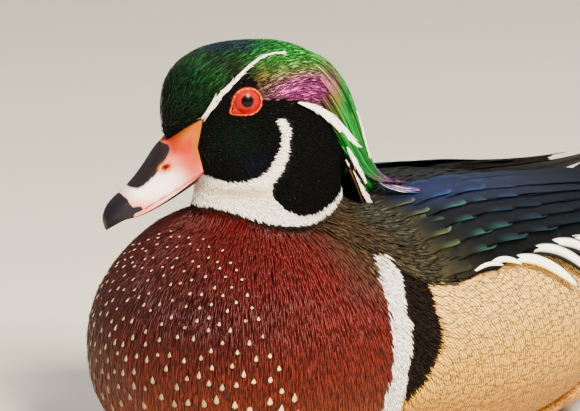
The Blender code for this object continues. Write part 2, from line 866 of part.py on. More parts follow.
def foot(name):
    web = prism(name, web_outline(), WEB_LIFT, WEB_LIFT + WEB_THICK)
    toes = []
    for number, (degrees, length) in enumerate(TOES):
        turn = math.radians(degrees)
        path = []
        for share, radius, height in ((-0.04, 1.0, 1.6), (0.5, 0.85, 1.4), (0.88, 0.62, 1.2),
                                      (0.95, 0.45, 1.2), (CLAW_REACH, 0.12, 0.3)):
            reach = length * share
            spot = foot_point(reach * math.cos(turn), reach * math.sin(turn), height)
            path.append((spot, TOE_RADIUS * radius))
        toes.append(tube("toe", path, sides=6, floor=TOE_STEP * number))
    return join_pieces(web, toes)


def leg(name, grow=0.0):
    """The shank, laid back along the floor from the foot, and the hock bent up into the body."""
    start = foot_point(-4.0 + grow, 0, 0)
    x, y = start.x, start.y
    spots = [((x, y, 3.0), 2.6), ((x - 14, y, 4.6), 2.4), ((x - 30, y + 1, 8.0), 2.6),
             ((x - 41, y + 2, 12.5), 3.6), ((x - 47, y + 2, 19), 3.8),
             ((x - 49 - grow, y + 1, 26 + 2 * grow), 4.6)]
    path = [(spot, radius + grow) for spot, radius in spots]
    return tube(name, path, sides=10, floor=None if grow else 0.3)


# Putting the duck together

def build():
    clear_scene()
    chestnut = make_material("breast_feathers", "#7A2419", 0.6)
    white = make_material("throat_feathers", "#F4EEE4", 0.7)
    green = make_material("crown_feathers", "#1D5A34", 0.35, 0.2)
    bill_red = make_material("bill_horn", "#F0583A", 0.35)
    black_horn = make_material("nail_horn", "#141416", 0.3)
    dark_horn = make_material("lower_bill_horn", "#3A2A28", 0.4)
    red_eye = make_material("eye_red", "#D8141A", 0.1)
    lid_skin = make_material("lid_skin", "#F0401E", 0.45)
    wing_blue = make_material("wing_feathers", "#22405A", 0.35, 0.2)
    flank_gold = make_material("flank_feathers", "#CFA566", 0.65)
    tail_brown = make_material("tail_feathers", "#2A1D16", 0.5)
    leg_skin = make_material("leg_skin", "#B8862E", 0.5)

    torso = loft("torso", torso_rings(0.0), start_pole=True, end_pole=True)
    cutters = []
    for side in (1, -1):
        for maker in (lambda: leg("leg_cutter", GAP),
                      lambda: prism("foot_cutter", foot_space_outline(), -2.0, 2 * TOE_RADIUS)):
            cutter = maker()
            if side < 0:
                left_cutter = cutter
                cutter = mirror(left_cutter, "right_cutter")
                bpy.data.objects.remove(left_cutter, do_unlink=True)
            cutters.append(cutter)
    cutters.append(tail_stub("tail_cutter", GAP))
    cut_away(torso, cutters)
    finish(torso, chestnut)

    neck = loft("neck", head_rings(NECK, NECK_RINGS, HEAD_TURNS))
    torso_cutter = loft("torso_cutter", torso_rings(GAP), start_pole=True, end_pole=True)
    lower_bill = [bill_lower_ring(LOWER_START - 0.01 + 0.06 * i, GAP) for i in range(13)]
    cut_away(neck, [torso_cutter, loft("lower_cutter", lower_bill)])
    finish(neck, white)

    head = loft("head", head_rings(HEAD, HEAD_RINGS, HEAD_TURNS), end_pole=True)
    for vert in head.data.vertices:
        if vert.co.z < (HEAD_PLACE.z - 28.9) * MM:
            vert.co.z += GAP * MM
    join_pieces(head, crest_locks())
    cutters = [loft("bill_cutter", bill_length_ring(-0.03, 0.9, BILL_RINGS, GAP)),
               loft("lower_cutter", lower_bill)]
    for side in (1, -1):
        cutters.append(eye_ball("eye_cutter", side, EYE_RADIUS + GAP))
        cutters.append(lid_ring("lid_cutter", side, EYE_RADIUS - 1.5, EYE_RADIUS + LID_THICK + 2.5,
                                math.radians(6), math.radians(3)))
    cut_away(head, cutters)
    finish(head, green)

    bill = loft("bill_upper", bill_length_ring(0.0, NAIL_START - 0.008, BILL_RINGS))
    cut_away(bill, [nostril_cutter(1), nostril_cutter(-1)])
    finish(bill, bill_red)
    nail = loft("bill_nail", bill_length_ring(NAIL_START, 1.0, 6))
    finish(nail, black_horn)
    lower = loft("bill_lower", [bill_lower_ring(LOWER_START + (LOWER_END - LOWER_START) * i / 8)
                                for i in range(9)])
    finish(lower, dark_horn)

    for side, word in ((1, "left"), (-1, "right")):
        finish(eye_ball("eye_" + word, side, EYE_RADIUS), red_eye)
        finish(lid_ring("lid_" + word, side, EYE_RADIUS + 0.3, EYE_RADIUS + 0.3 + LID_THICK,
                        0.0, 0.0), lid_skin)

    finish(tail("tail"), tail_brown)
    left_wing = finish(wing("wing_left"), wing_blue)
    mirror(left_wing, "wing_right")
    left_flank = finish(flank("flank_left"), flank_gold)
    mirror(left_flank, "flank_right")
    left_foot = finish(foot("foot_left"), leg_skin)
    mirror(left_foot, "foot_right")
    left_leg = finish(leg("leg_left"), leg_skin)
    mirror(left_leg, "leg_right")


build()
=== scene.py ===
# %% [markdown]
# A life-size wood duck drake, resting on its belly, dressed for the camera.
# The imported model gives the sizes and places. Here it gets one skin over its flesh, a coat of
# many small mesh feathers, long vanes on the wings and tail, a horn bill, eyes and feet.

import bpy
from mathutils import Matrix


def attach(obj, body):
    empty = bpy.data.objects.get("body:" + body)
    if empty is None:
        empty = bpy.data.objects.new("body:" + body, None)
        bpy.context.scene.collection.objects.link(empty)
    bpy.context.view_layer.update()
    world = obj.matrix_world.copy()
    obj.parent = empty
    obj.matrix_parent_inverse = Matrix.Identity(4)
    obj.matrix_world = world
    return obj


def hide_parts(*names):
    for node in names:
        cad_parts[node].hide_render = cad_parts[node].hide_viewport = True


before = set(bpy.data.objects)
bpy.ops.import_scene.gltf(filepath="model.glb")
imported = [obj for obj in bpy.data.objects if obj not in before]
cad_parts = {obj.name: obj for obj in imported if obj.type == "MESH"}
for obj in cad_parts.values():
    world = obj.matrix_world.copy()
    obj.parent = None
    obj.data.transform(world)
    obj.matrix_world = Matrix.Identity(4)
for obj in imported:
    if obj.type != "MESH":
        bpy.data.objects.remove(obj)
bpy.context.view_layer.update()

# %% [markdown]
# Blender's own modules make the meshes, and numpy does the sums over many points at once.
# Lengths are in millimetres, as in the model's source, and are turned to metres in each mesh.

# %% Modules and units
import math
from itertools import product

import bmesh
import bpy
import numpy as np
from mathutils import Vector
from mathutils.bvhtree import BVHTree

MM = 0.001
print("a millimetre is", MM, "metres")

# %% [markdown]
# The photograph was taken from in front of the duck's left shoulder, from a little above it,
# with a long lens. The camera stands on that line, far away, so that its view is as flat as
# the long lens made it. The eye's place in the photograph fixes where it aims.

# %% Camera
IMAGE_WIDTH, IMAGE_HEIGHT = 580, 411
CAMERA_AZIMUTH, CAMERA_ELEVATION = 140, 11
CAMERA_DISTANCE = 3.0
SENSOR_WIDTH = 36
MM_PER_PIXEL = 0.375
EYE_IN_MODEL = Vector((0.058, -0.003, 0.137))
EYE_IN_PHOTO = (236, 95)


def way_to(azimuth, elevation):
    """The unit direction towards an azimuth and an elevation, in degrees."""
    a, e = math.radians(azimuth), math.radians(elevation)
    return Vector((math.sin(a) * math.cos(e), -math.cos(a) * math.cos(e), math.sin(e)))

def add_camera():
    back = way_to(CAMERA_AZIMUTH, CAMERA_ELEVATION)
    right = way_to(CAMERA_AZIMUTH + 90, 0)
    up = back.cross(right)
    across = (IMAGE_WIDTH / 2 - EYE_IN_PHOTO[0]) * MM_PER_PIXEL * MM
    rise = (EYE_IN_PHOTO[1] - IMAGE_HEIGHT / 2) * MM_PER_PIXEL * MM
    target = EYE_IN_MODEL + right * across + up * rise
    bpy.ops.object.camera_add(location=target + back * CAMERA_DISTANCE,
                              rotation=back.to_track_quat("Z", "Y").to_euler())
    camera = bpy.context.object
    camera.name = "photo_camera"
    camera.data.sensor_width = SENSOR_WIDTH
    camera.data.lens = SENSOR_WIDTH * CAMERA_DISTANCE / (IMAGE_WIDTH * MM_PER_PIXEL * MM)
    camera.data.clip_end = 30
    bpy.context.scene.camera = camera
    return camera


camera = add_camera()
print("camera at", [round(v, 3) for v in camera.location])

# %% [markdown]
# Every colour is written as an sRGB hex value, as a colour picker shows it, and turned to
# linear light by one function. One more function adds a shader node with its settings.

# %% Colours and nodes


def linear(hex_colour):
    """An sRGB hex colour as linear red, green and blue."""
    channels = [int(hex_colour[i:i + 2], 16) / 255 for i in (1, 3, 5)]
    return np.array([c / 12.92 if c <= 0.04045 else ((c + 0.055) / 1.055) ** 2.4
                     for c in channels])


def new_material(name):
    material = bpy.data.materials.new(name)
    material.use_nodes = True
    tree = material.node_tree
    return material, tree, tree.nodes["Principled BSDF"]


def add_node(tree, kind, settings=None, inputs=None):
    """A node with its settings. An input is a value, or the socket that it is linked to."""
    node = tree.nodes.new(kind)
    for key, value in (settings or {}).items():
        setattr(node, key, value)
    for key, value in (inputs or {}).items():
        if isinstance(value, bpy.types.NodeSocket):
            tree.links.new(value, node.inputs[key])
        else:
            node.inputs[key].default_value = value
    return node


# %% [markdown]
# The stage is a pale sheet that runs up behind the duck, lit by three soft lamps. The large
# one is warm and stands a little to the camera's right, where the sun was in the photograph.

# %% Floor and light


def add_floor():
    bpy.ops.mesh.primitive_plane_add(size=8, location=(0, 0, 0))
    floor = bpy.context.object
    floor.name = "studio_floor"
    material, _, shader = new_material("pale_paper")
    shader.inputs["Base Color"].default_value = (*linear("#D9D3C8"), 1)
    shader.inputs["Roughness"].default_value = 0.9
    floor.data.materials.append(material)


LAMP_AIM = Vector((0.02, 0, 0.08))

def add_lamp(name, azimuth, elevation, distance, size, watts, colour):
    way = way_to(azimuth, elevation)
    place = LAMP_AIM + way * distance
    bpy.ops.object.light_add(type="AREA", location=place,
                             rotation=way.to_track_quat("Z", "Y").to_euler())
    lamp = bpy.context.object
    lamp.name = name
    lamp.data.size = size
    lamp.data.energy = watts
    lamp.data.color = linear(colour)


add_floor()
add_lamp("key_lamp", 164, 40, 1.3, 0.4, 82, "#FFF0D6")
add_lamp("fill_lamp", 96, 40, 1.8, 1.4, 9, "#F4F2FF")
add_lamp("rim_lamp", 290, 60, 1.6, 0.7, 16, "#FFF6E6")
world = bpy.data.worlds.new("studio_air")
world.use_nodes = True
world.node_tree.nodes["Background"].inputs["Color"].default_value = (*linear("#E4E6EA"), 1)
world.node_tree.nodes["Background"].inputs["Strength"].default_value = 0.4
bpy.context.scene.world = world
print("stage and lamps in place")

# %% [markdown]
# The flesh is one closed skin. Its shape is lofted through a few stations of the body, of the
# head with its neck, and of the mane under the crest, taken over from the model's source. Each
# loft lies inside the solids by the depth of the coat. A voxel remesh melts the three lofts
# into one surface with no seam, and a smoothing pass rounds the places where they meet.

# %% Measures of the body
BODY_DEPTH = 2.2      # how far the skin lies under the feathered surface
HEAD_DEPTH = 1.3
ROUND_TOP, ROUND_UNDER = 0.94, 0.86
# Place along X, half width, underside, height of the widest place, and back
BODY = np.array((
    (115, 0.0, 42, 42, 42), (112.5, 14, 28, 42, 55), (107.5, 29, 16, 42, 66),
    (98, 43, 7, 43, 77), (84, 54.5, 1, 44, 87.5), (66, 63, -3, 45, 95.5),
    (44, 68.5, -4, 46, 96.5), (15, 71, -4, 46, 97), (-20, 71, -4, 46, 99),
    (-55, 67, -1, 48, 95), (-85, 56, 9, 52, 89), (-108, 42, 24, 57, 85),
    (-124, 29, 39, 62, 82), (-136, 15, 52, 67, 78), (-140, 0.0, 66, 66, 66)))
CLOAK = np.array((
    (84, 54.5, 1, 44, 87.5), (66, 63, -3, 45, 95.5), (44, 68.5, -4, 46, 96.5),
    (15, 71, -4, 46, 97), (-20, 71, -4, 46, 99), (-55, 67, -1, 48, 95.5),
    (-85, 58, 9, 51, 91.5), (-108, 48, 20, 54, 90), (-130, 39, 30, 58, 91),
    (-155, 30, 42, 66, 95), (-180, 22, 60, 76, 101)))
HEAD_PLACE = np.array((58.0, -3.0, 137.0))
HEAD_YAW = math.radians(-22)
# Height, front, rear, half width, widest place, and the power of the front half
HEAD = np.array((
    (-60, 22, -45, 29, -11, 1.0), (-46, 18.5, -42.5, 26.8, -11, 1.0),
    (-40, 17, -41.5, 25.5, -11, 1.0), (-34, 16, -41, 24.6, -11, 1.0),
    (-29, 16.5, -41, 24, -11, 1.0), (-26, 20, -41.2, 23.4, -11, 1.0),
    (-21, 26, -41.5, 22.2, -11, 1.3), (-16, 29.6, -41.5, 21.2, -10.5, 1.75),
    (-10, 31.1, -41.8, 20.1, -10, 1.65), (-4, 31.0, -42, 19.4, -9, 1.45),
    (4, 29.9, -40, 18.2, -8, 1.25), (10.5, 26.2, -35, 16.0, -7, 1.05),
    (15.6, 20, -28, 12.6, -6, 1.0), (19, 10.5, -18.5, 7.6, -5, 1.0),
    (20.1, -4, -4, 0.0, -4, 1.0)))
# Height, rear outline, half width and middle of the mane
MANE = np.array((
    (17.5, -24, 9, -12), (12, -35, 12, -18), (3, -42.5, 14.5, -24), (-8, -47, 15.5, -30),
    (-19, -50, 14.5, -36), (-29, -54, 11.5, -43), (-35, -60, 7.5, -52), (-37.6, -70, 3, -64)))
MANE_DEPTH = 2.6
MANE_CORE_END = 5.2   # the mane's flesh ends at this station, and its locks go on


def smooth_between(before, start, end, after, t):
    """A place on the smooth curve from start to end, led by the points before and after."""
    blend = 3 * t * t - 2 * t ** 3
    ease_in = t ** 3 - 2 * t * t + t
    ease_out = t ** 3 - t * t
    return (start + (end - start) * blend + (end - before) / 2 * ease_in
            + (after - start) / 2 * ease_out)

def smooth_row(table, place):
    """Every column of a table, read on a smooth curve at a place between its rows."""
    last = len(table) - 1
    index = min(max(int(place), 0), last - 1)
    return smooth_between(table[max(index - 1, 0)], table[index], table[index + 1],
                          table[min(index + 2, last)], place - index)


FLIP = np.array((1, -1, 1))  # turns places to the other side


def signed_power(value, power):
    return np.sign(value) * np.abs(value) ** power


def from_head(points):
    """Points of the head's frame (forward, left, up) in the model's, in millimetres."""
    points = np.asarray(points, float)
    c, s = math.cos(HEAD_YAW), math.sin(HEAD_YAW)
    f, left, up = points[..., 0], points[..., 1], points[..., 2]
    return HEAD_PLACE + np.stack((f * c - left * s, f * s + left * c, up), -1)


def to_head(points):
    c, s = math.cos(HEAD_YAW), math.sin(HEAD_YAW)
    d = np.asarray(points, float) - HEAD_PLACE
    return np.stack((d[..., 0] * c + d[..., 1] * s, -d[..., 0] * s + d[..., 1] * c, d[..., 2]), -1)


def body_ring(row, turns, grow):
    """A ring of the body, where turn 0 is the back and a quarter turn the left side."""
    x, half, low, middle, top = row
    side, height = np.sin(turns), np.cos(turns)
    reach = np.where(height > 0, top - middle, middle - low) + grow
    power = np.where(height > 0, ROUND_TOP, ROUND_UNDER)
    return np.stack((np.full_like(turns, x), max(half + grow, 0.0) * signed_power(side, power),
                     middle + reach * signed_power(height, power)), -1)


def head_ring(row, turns, grow):
    up, front, rear, half, widest, power = row
    c, s = np.cos(turns), np.sin(turns)
    ahead = widest + max(front + grow - widest, 0.0) * np.abs(c) ** power
    behind = widest - max(widest - rear + grow, 0.0) * np.abs(c) ** 0.92
    left = max(half + grow, 0.0) * signed_power(s, np.where(c >= 0, power, 0.92))
    return from_head(np.stack((np.where(c >= 0, ahead, behind), left,
                               np.full_like(turns, up)), -1))


def mane_ring(row, turns, grow):
    up, rear, half, middle = row
    c, s = np.cos(turns), np.sin(turns)
    reach = np.where(c > 0, 7.0, middle - rear + grow)
    return from_head(np.stack((middle + reach * c, (half + grow) * s,
                               np.full_like(turns, up)), -1))


print("stations of body, head and mane:", len(BODY), len(HEAD), len(MANE))

# %% [markdown]
# A loft is a skin over rings of points, like canvas over the ribs of a boat. Balls and
# metaballs would only come near the shape, and rings keep the sizes of the solids.

# %% Lofts


def loft(name, rings):
    """A closed skin over rings of points in millimetres, ends drawn to their middles."""
    rings = [np.asarray(ring) for ring in rings]
    count = len(rings[0])
    points = np.concatenate(rings + [rings[0].mean(0)[None], rings[-1].mean(0)[None]])
    first, last = len(points) - 2, len(points) - 1
    faces = []
    for row in range(len(rings) - 1):
        for i in range(count):
            j = (i + 1) % count
            a, b = row * count, (row + 1) * count
            faces.append((a + i, a + j, b + j, b + i))
    for i in range(count):
        j = (i + 1) % count
        faces.append((first, i, j))
        faces.append((last, (len(rings) - 1) * count + j, (len(rings) - 1) * count + i))
    mesh = bpy.data.meshes.new(name)
    mesh.from_pydata((points * MM).tolist(), [], faces)
    thing = bpy.data.objects.new(name, mesh)
    bpy.context.scene.collection.objects.link(thing)
    bm = bmesh.new()
    bm.from_mesh(mesh)
    bmesh.ops.recalc_face_normals(bm, faces=bm.faces)
    bm.to_mesh(mesh)
    bm.free()
    return thing


def select_only(things):
    bpy.ops.object.select_all(action="DESELECT")
    for thing in things:
        thing.select_set(True)
    bpy.context.view_layer.objects.active = things[0]


SKIN_VOXEL = 0.0017
SKIN_FLOOR = 0.0009   # the belly's flat, just inside the solid's
RING_POINTS = 96

def make_skin():
    turns = np.arange(RING_POINTS) / RING_POINTS * 2 * math.pi
    body_rings = [body_ring(smooth_row(BODY, p), turns, -BODY_DEPTH)
                  for p in np.linspace(0.25, len(BODY) - 1.25, 90)]
    head_rings = [head_ring(smooth_row(HEAD, p), turns, -HEAD_DEPTH)
                  for p in np.linspace(0, len(HEAD) - 1.02, 70)]
    mane_rings = [mane_ring(smooth_row(MANE, p), turns, -MANE_DEPTH)
                  for p in np.linspace(0, MANE_CORE_END, 40)]
    parts = [loft("skin", body_rings), loft("head_loft", head_rings), loft("mane_loft", mane_rings)]
    select_only(parts)
    bpy.ops.object.join()
    skin = bpy.context.object
    remesh = skin.modifiers.new("melt", "REMESH")
    remesh.mode = "VOXEL"
    remesh.voxel_size = SKIN_VOXEL
    bpy.ops.object.modifier_apply(modifier="melt")
    relax = skin.modifiers.new("relax", "SMOOTH")
    relax.factor = 0.5
    relax.iterations = 6
    bpy.ops.object.modifier_apply(modifier="relax")
    for vert in skin.data.vertices:
        vert.co.z = max(vert.co.z, SKIN_FLOOR)
    bpy.ops.object.shade_smooth()
    return skin


skin = make_skin()
print("skin has", len(skin.data.vertices), "points")

# %% [markdown]
# The drake's markings are hard-edged, so they are drawn as outlines. On the head they are
# seen square from the side, in the head's own frame, and on the body along X and up. The same
# function colours the skin and every feather, and both sides of the duck use it alike.

# %% Outlines of the markings
BLACK_MASK = (
    (17.5, -6.5), (13.5, -3), (9, 3.4), (3.8, 8.0), (0.5, 10.8), (-2.9, 7.5), (-4.8, 3.2),
    (-5.6, 0.8), (-13.3, 0.3), (-18.5, -0.4), (-22.2, -2.6), (-27.3, -5.7), (-31.8, -9.3),
    (-35, -13.5), (-37.6, -17.2), (-41, -22), (-45, -25), (-45, -34), (-40, -34.5), (-36.5, -37.5),
    (-29.7, -40.5), (-24.5, -42.5), (-19, -43.3), (-15, -41.9), (-11.2, -39.8), (-8.2, -37),
    (-6.5, -34), (-7.1, -30.4), (-9.5, -27.5), (-12, -24), (-14, -19), (-14.7, -14.6),
    (-15.2, -10.9), (-14.1, -7.9), (-11.8, -6.3), (-9.6, -7.0), (-10.9, -9.9), (-11.5, -12.9),
    (-10.5, -17.3), (-8.4, -21.6), (-5.1, -25.6), (-1.4, -28.1), (2.8, -29.3), (6.6, -29.7),
    (9.6, -29.6), (12.1, -28.7), (15, -27.5), (30, -29), (30, -8))
# Above this line, read from front to rear, the head is green
GREEN_LINE = ((-60, -50), (-41, -40), (-40.4, -27), (-39.5, -22), (-37.6, -17), (-35, -13.3),
              (-31.8, -9.1), (-27.3, -5.5), (-22.2, -2.4), (-18.5, -0.3), (-13, 0.4),
              (-5.4, 0.9), (-4.6, 3.2), (-2.9, 7.5), (0.5, 11.2), (1.3, 11.6), (4.6, 8.8),
              (9.8, 4), (13.9, -2.1), (17.5, -6.3), (21, -9), (40, -12))
# The collar's lower edge, in the head's frame
COLLAR_LINE = ((-60, -36), (-45, -36.5), (-41, -37.5), (-36, -40), (-30.3, -43.5),
               (-23.9, -45.6), (-18.2, -46.6), (-10.2, -46), (-3.8, -44.9), (1.5, -43.2),
               (6.3, -41.3), (10.7, -40), (13.8, -40), (17, -41.4), (30, -44))
WHITE_BAR = (
    (31, 80.5), (35, 80.5), (38.5, 77), (40, 72), (40.4, 61), (41, 54), (41, 41), (42, 35),
    (43, 28), (43.5, 18), (42, 6), (38, -3), (30, -3), (33, 10), (34, 20), (34, 40), (32.3, 47),
    (32, 53), (31, 58), (33, 60), (32, 65), (30, 71), (29, 76))
BLACK_BAR = (
    (29.5, 79), (28.5, 74.5), (25, 72.5), (20, 71), (19, 65), (19.5, 60), (18, 54), (18, 50),
    (20, 45), (23, 40), (25, 35), (29, 31), (33.5, 26), (34, 40), (32.3, 47), (32, 53),
    (31, 58), (33, 60), (32, 65), (30, 71), (29.5, 76))
FLANK = (
    (22, 70), (14, 68.5), (8, 67.5), (3, 68.5), (-5, 69.5), (-12, 70.5), (-21, 72), (-29, 73),
    (-39, 73.5), (-48, 72), (-57, 68), (-70, 62), (-84, 56), (-93, 48), (-95, 34), (-84, 15),
    (-55, 5), (-10, 2), (31, 2), (34, 20), (34, 40), (32, 60))
# Where chestnut meets the mantle, from the back down to the white bar
SHOULDER_LINE = ((40, 74), (42, 78), (43, 84), (46, 89), (52, 91.5), (52, 105))


def inside(outline, u, v):
    """Which points lie inside an outline, by counting its edges to one side of each."""
    hit = np.zeros(len(u), bool)
    corners = list(outline)
    for (u1, v1), (u2, v2) in zip(corners, corners[1:] + corners[:1]):
        spans = (v1 > v) != (v2 > v)
        cross = u1 + (v - v1) / (v2 - v1 if v2 != v1 else 1e-9) * (u2 - u1)
        hit ^= spans & (u < cross)
    return hit


def line_height(line, along):
    line = np.array(line, float)
    return np.interp(along, line[:, 0], line[:, 1])


def glow(u, v, centre, reach):
    """A soft round spot: 1 at its centre, fading to 0 past its reach."""
    return np.exp(-((u - centre[0]) / reach[0]) ** 2 - ((v - centre[1]) / reach[1]) ** 2)


def step(low, high, value):
    t = np.clip((value - low) / (high - low), 0, 1)
    return t * t * (3 - 2 * t)


def mix(colours, hex_colour, weight):
    weight = np.clip(np.asarray(weight, float), 0, 1)[:, None]
    return colours * (1 - weight) + linear(hex_colour) * weight


def plain(hex_colour, count):
    """One colour for each of a number of points."""
    return np.tile(linear(hex_colour), (count, 1))

print("corners of mask, bars and flank:",
      [len(outline) for outline in (BLACK_MASK, WHITE_BAR, BLACK_BAR, FLANK)])

# %% [markdown]
# Each place on the bird belongs to one plumage region, such as the crown, the throat or the
# flank. The outlines are tested in turn, and a later one covers an earlier one, as stencils
# would. Painting by hand would do too, but skin and feathers could not share it.

# %% Regions
REGIONS = ("crown", "mask", "throat", "collar_edge", "breast", "mantle", "bar_white",
           "bar_black", "flank", "belly", "rump")
REGION = {name: number for number, name in enumerate(REGIONS)}


def region_of(points):
    """The plumage region of each point, given in millimetres."""
    head = to_head(points)
    f, up = head[:, 0], head[:, 2]
    x, side, z = points[:, 0], np.abs(points[:, 1]), points[:, 2]
    region = np.full(len(points), REGION["mantle"])
    shoulder = np.interp(z, [p[1] for p in SHOULDER_LINE], [p[0] for p in SHOULDER_LINE])
    region[(x < shoulder) & (z < 62)] = REGION["flank"]
    region[x > shoulder] = REGION["breast"]
    region[(z < 7) & (x < 70)] = REGION["belly"]
    region[inside(FLANK, x, z) & (side > 20)] = REGION["flank"]
    region[inside(BLACK_BAR, x, z) & (side > 20)] = REGION["bar_black"]
    region[inside(WHITE_BAR, x, z) & (side > 20)] = REGION["bar_white"]
    region[(x < -93)] = REGION["rump"]
    collar = line_height(COLLAR_LINE, f)
    region[(up > collar - 1.3) & (f > -26) & (f < 40) & (z > 84)] = REGION["collar_edge"]
    on_head = up > collar
    region[on_head] = REGION["throat"]
    region[on_head & (up > -5.5)] = REGION["crown"]
    region[on_head & inside(BLACK_MASK, f, up)] = REGION["mask"]
    region[on_head & (up > line_height(GREEN_LINE, f))] = REGION["crown"]
    return region


print("regions:", ", ".join(REGIONS))

# %% [markdown]
# Within its region a colour changes slowly, as gloss and dye do over a real bird, and in some
# places painted sheen, painted shade and painted shadow stand in for the light. Soft round spots
# and long blends are laid over a plain ground. They are darker and purer than the feathers look,
# because the lamps and the view lift them.

# %% Colours of the plumage

def crown_colours(f, up):
    """The crown's green gloss, with bronze and a purple patch behind the eye. The brighter green
    towards the rear top is painted sheen, and the darker front is painted shade.
    """
    c = plain("#03200F", len(f))
    # Painted sheen: a brighter green towards the rear of the crown's top, where the light falls
    c = mix(c, "#0E8A2A", glow(f, up, (-18, 15), (20, 7)))
    c = mix(c, "#12A236", 0.85 * glow(f, up, (-26, 12), (9, 5)))
    # Painted shade: a darker green over the front of the crown
    c = mix(c, "#053E18", 0.7 * glow(f, up, (13, 8), (9, 8)))
    c = mix(c, "#0A1C3A", step(15.5, 19, up) * step(-14, 0, f) * 0.8)
    # Painted shade: near black low in front
    c = mix(c, "#020A05", step(15, 27, f) * step(6, -10, up))
    c = mix(c, "#020A05", 0.75 * glow(f, up, (6, 14), (7, 3)))
    c = mix(c, "#6E8A10", 0.9 * glow(f, up, (-20, 6.5), (16, 6)))
    c = mix(c, "#953A78", 1.4 * glow(f, up, (-22.5, 3.6), (15.5, 5.6)))
    c = mix(c, "#4A300C", 0.8 * glow(f, up, (-5.5, 7.5), (3.5, 5)))
    c = mix(c, "#060806", 1.2 * glow(f, up, (2, 9.5), (4.5, 3.5)))
    c = mix(c, "#7A6A1C", 0.8 * glow(f, up, (-35, -3), (4, 9)))
    c = mix(c, "#108A2A", step(-36, -41, f))
    return c


def plumage(points, region):
    """The linear colour of each point of skin or coat."""
    head = to_head(points)
    f, up = head[:, 0], head[:, 2]
    x, side, z = points[:, 0], np.abs(points[:, 1]), points[:, 2]
    out = plain("#2A2420", len(points))

    def paint(name, colours):
        chosen = region == REGION[name]
        out[chosen] = colours[chosen]

    paint("crown", crown_colours(f, up))
    mask = plain("#020303", len(points))
    mask = mix(mask, "#041A0C", 0.5 * glow(f, up, (4, -14), (7, 6)))
    mask = mix(mask, "#120C2A", 0.25 * glow(f, up, (-3, -24), (8, 5)))
    paint("mask", mask)
    throat = plain("#FBF6EC", len(points))
    # Painted shadow: a tan band under the jaw, where the cheek's shadow falls on the throat
    paint("throat", mix(throat, "#B48A58", 0.75 * glow(f, up, (6, -33.5), (15, 2.0))))
    paint("collar_edge", plain("#100A0A", len(points)))
    breast = plain("#480807", len(points))
    breast = mix(breast, "#500907", glow(x, z, (52, 60), (26, 30)) * step(15, 50, side))
    # Painted shade: darker towards the front of the breast, which faces away from the light
    breast = mix(breast, "#2C070A", step(70, 108, x) * 0.8)
    breast = mix(breast, "#601C06", step(66, 22, z) * 0.85)
    breast = mix(breast, "#8A3E08", step(36, 8, z) * 0.8)
    breast = mix(breast, "#3C2416", step(62, 42, x) * step(60, 78, z) * 0.9)
    paint("breast", breast)
    mantle = plain("#3C2C1C", len(points))
    mantle = mix(mantle, "#2C281B", step(38, 18, x))
    mantle = mix(mantle, "#0B0F10", step(8, -14, x))
    mantle = mix(mantle, "#33403A", 0.4 * glow(x, z, (16, 90), (8, 5)))
    paint("mantle", mantle)
    paint("bar_white", plain("#FFFDF8", len(points)))
    paint("bar_black", plain("#17110D", len(points)))
    flank = plain("#CC9836", len(points))
    flank = mix(flank, "#DCAE5C", step(36, 62, z))
    paint("flank", mix(flank, "#B2781C", step(36, 20, z) * 0.7))
    paint("belly", plain("#F0E6D4", len(points)))
    rump = plain("#15100E", len(points))
    paint("rump", mix(rump, "#4A1424", glow(x, z, (-104, 56), (10, 12)) * step(20, 34, side)))
    return out


print("chestnut of the breast:",
      plumage(np.array([[60.0, 40.0, 60.0]]), np.array([REGION["breast"]])).round(3))

# %% [markdown]
# The skin takes the coat's colours too, so that no bare flesh shows between feathers, darkened a
# little as painted shade of the depths under the coat. Its unwrap also tells each feather where its
# patch of the bake map lies.

# %% Skin colours and its unwrap


def give_colours(mesh, colours):
    layer = mesh.color_attributes.new("tint", "FLOAT_COLOR", "POINT")
    values = np.ones((len(mesh.vertices), 4), np.float32)
    values[:, :3] = colours
    layer.data.foreach_set("color", values.ravel())


def mesh_points(mesh):
    values = np.empty(len(mesh.vertices) * 3, np.float32)
    mesh.vertices.foreach_get("co", values)
    return values.reshape(-1, 3).astype(float) / MM


def unwrap_skin():
    select_only([skin])
    bpy.ops.object.mode_set(mode="EDIT")
    bpy.ops.mesh.select_all(action="SELECT")
    bpy.ops.uv.smart_project(angle_limit=math.radians(70), island_margin=0.002)
    bpy.ops.object.mode_set(mode="OBJECT")
    skin.data.uv_layers.active.name = "OFBake"


unwrap_skin()
skin_points = mesh_points(skin.data)
skin_region = region_of(skin_points)
pale = np.isin(skin_region, [REGION[name] for name in ("throat", "bar_white", "flank", "belly")])
# Painted shade: the skin is darker than its feathers, most under the dark ones, as the coat's
# depths are
give_colours(skin.data, plumage(skin_points, skin_region) * np.where(pale, 0.9, 0.5)[:, None])
print("skin unwrapped and coloured")

# %% [markdown]
# Feathers need a lie. On a bird they stream away from the bill over the head, down the neck,
# and out over the breast from the foot of the neck, then straight back along the sides. One
# function gives this direction at any place on the skin, and every feather is laid along it.

# %% The lie of the coat
BILL_BASE = np.array((31.0, 0.0, -15.0))
NECK_FOOT = np.array((47.0, -2.0, 102.0))


def normalised(vectors):
    return vectors / np.maximum(np.linalg.norm(vectors, axis=-1, keepdims=True), 1e-9)


def head_way(vectors):
    return from_head(vectors) - HEAD_PLACE


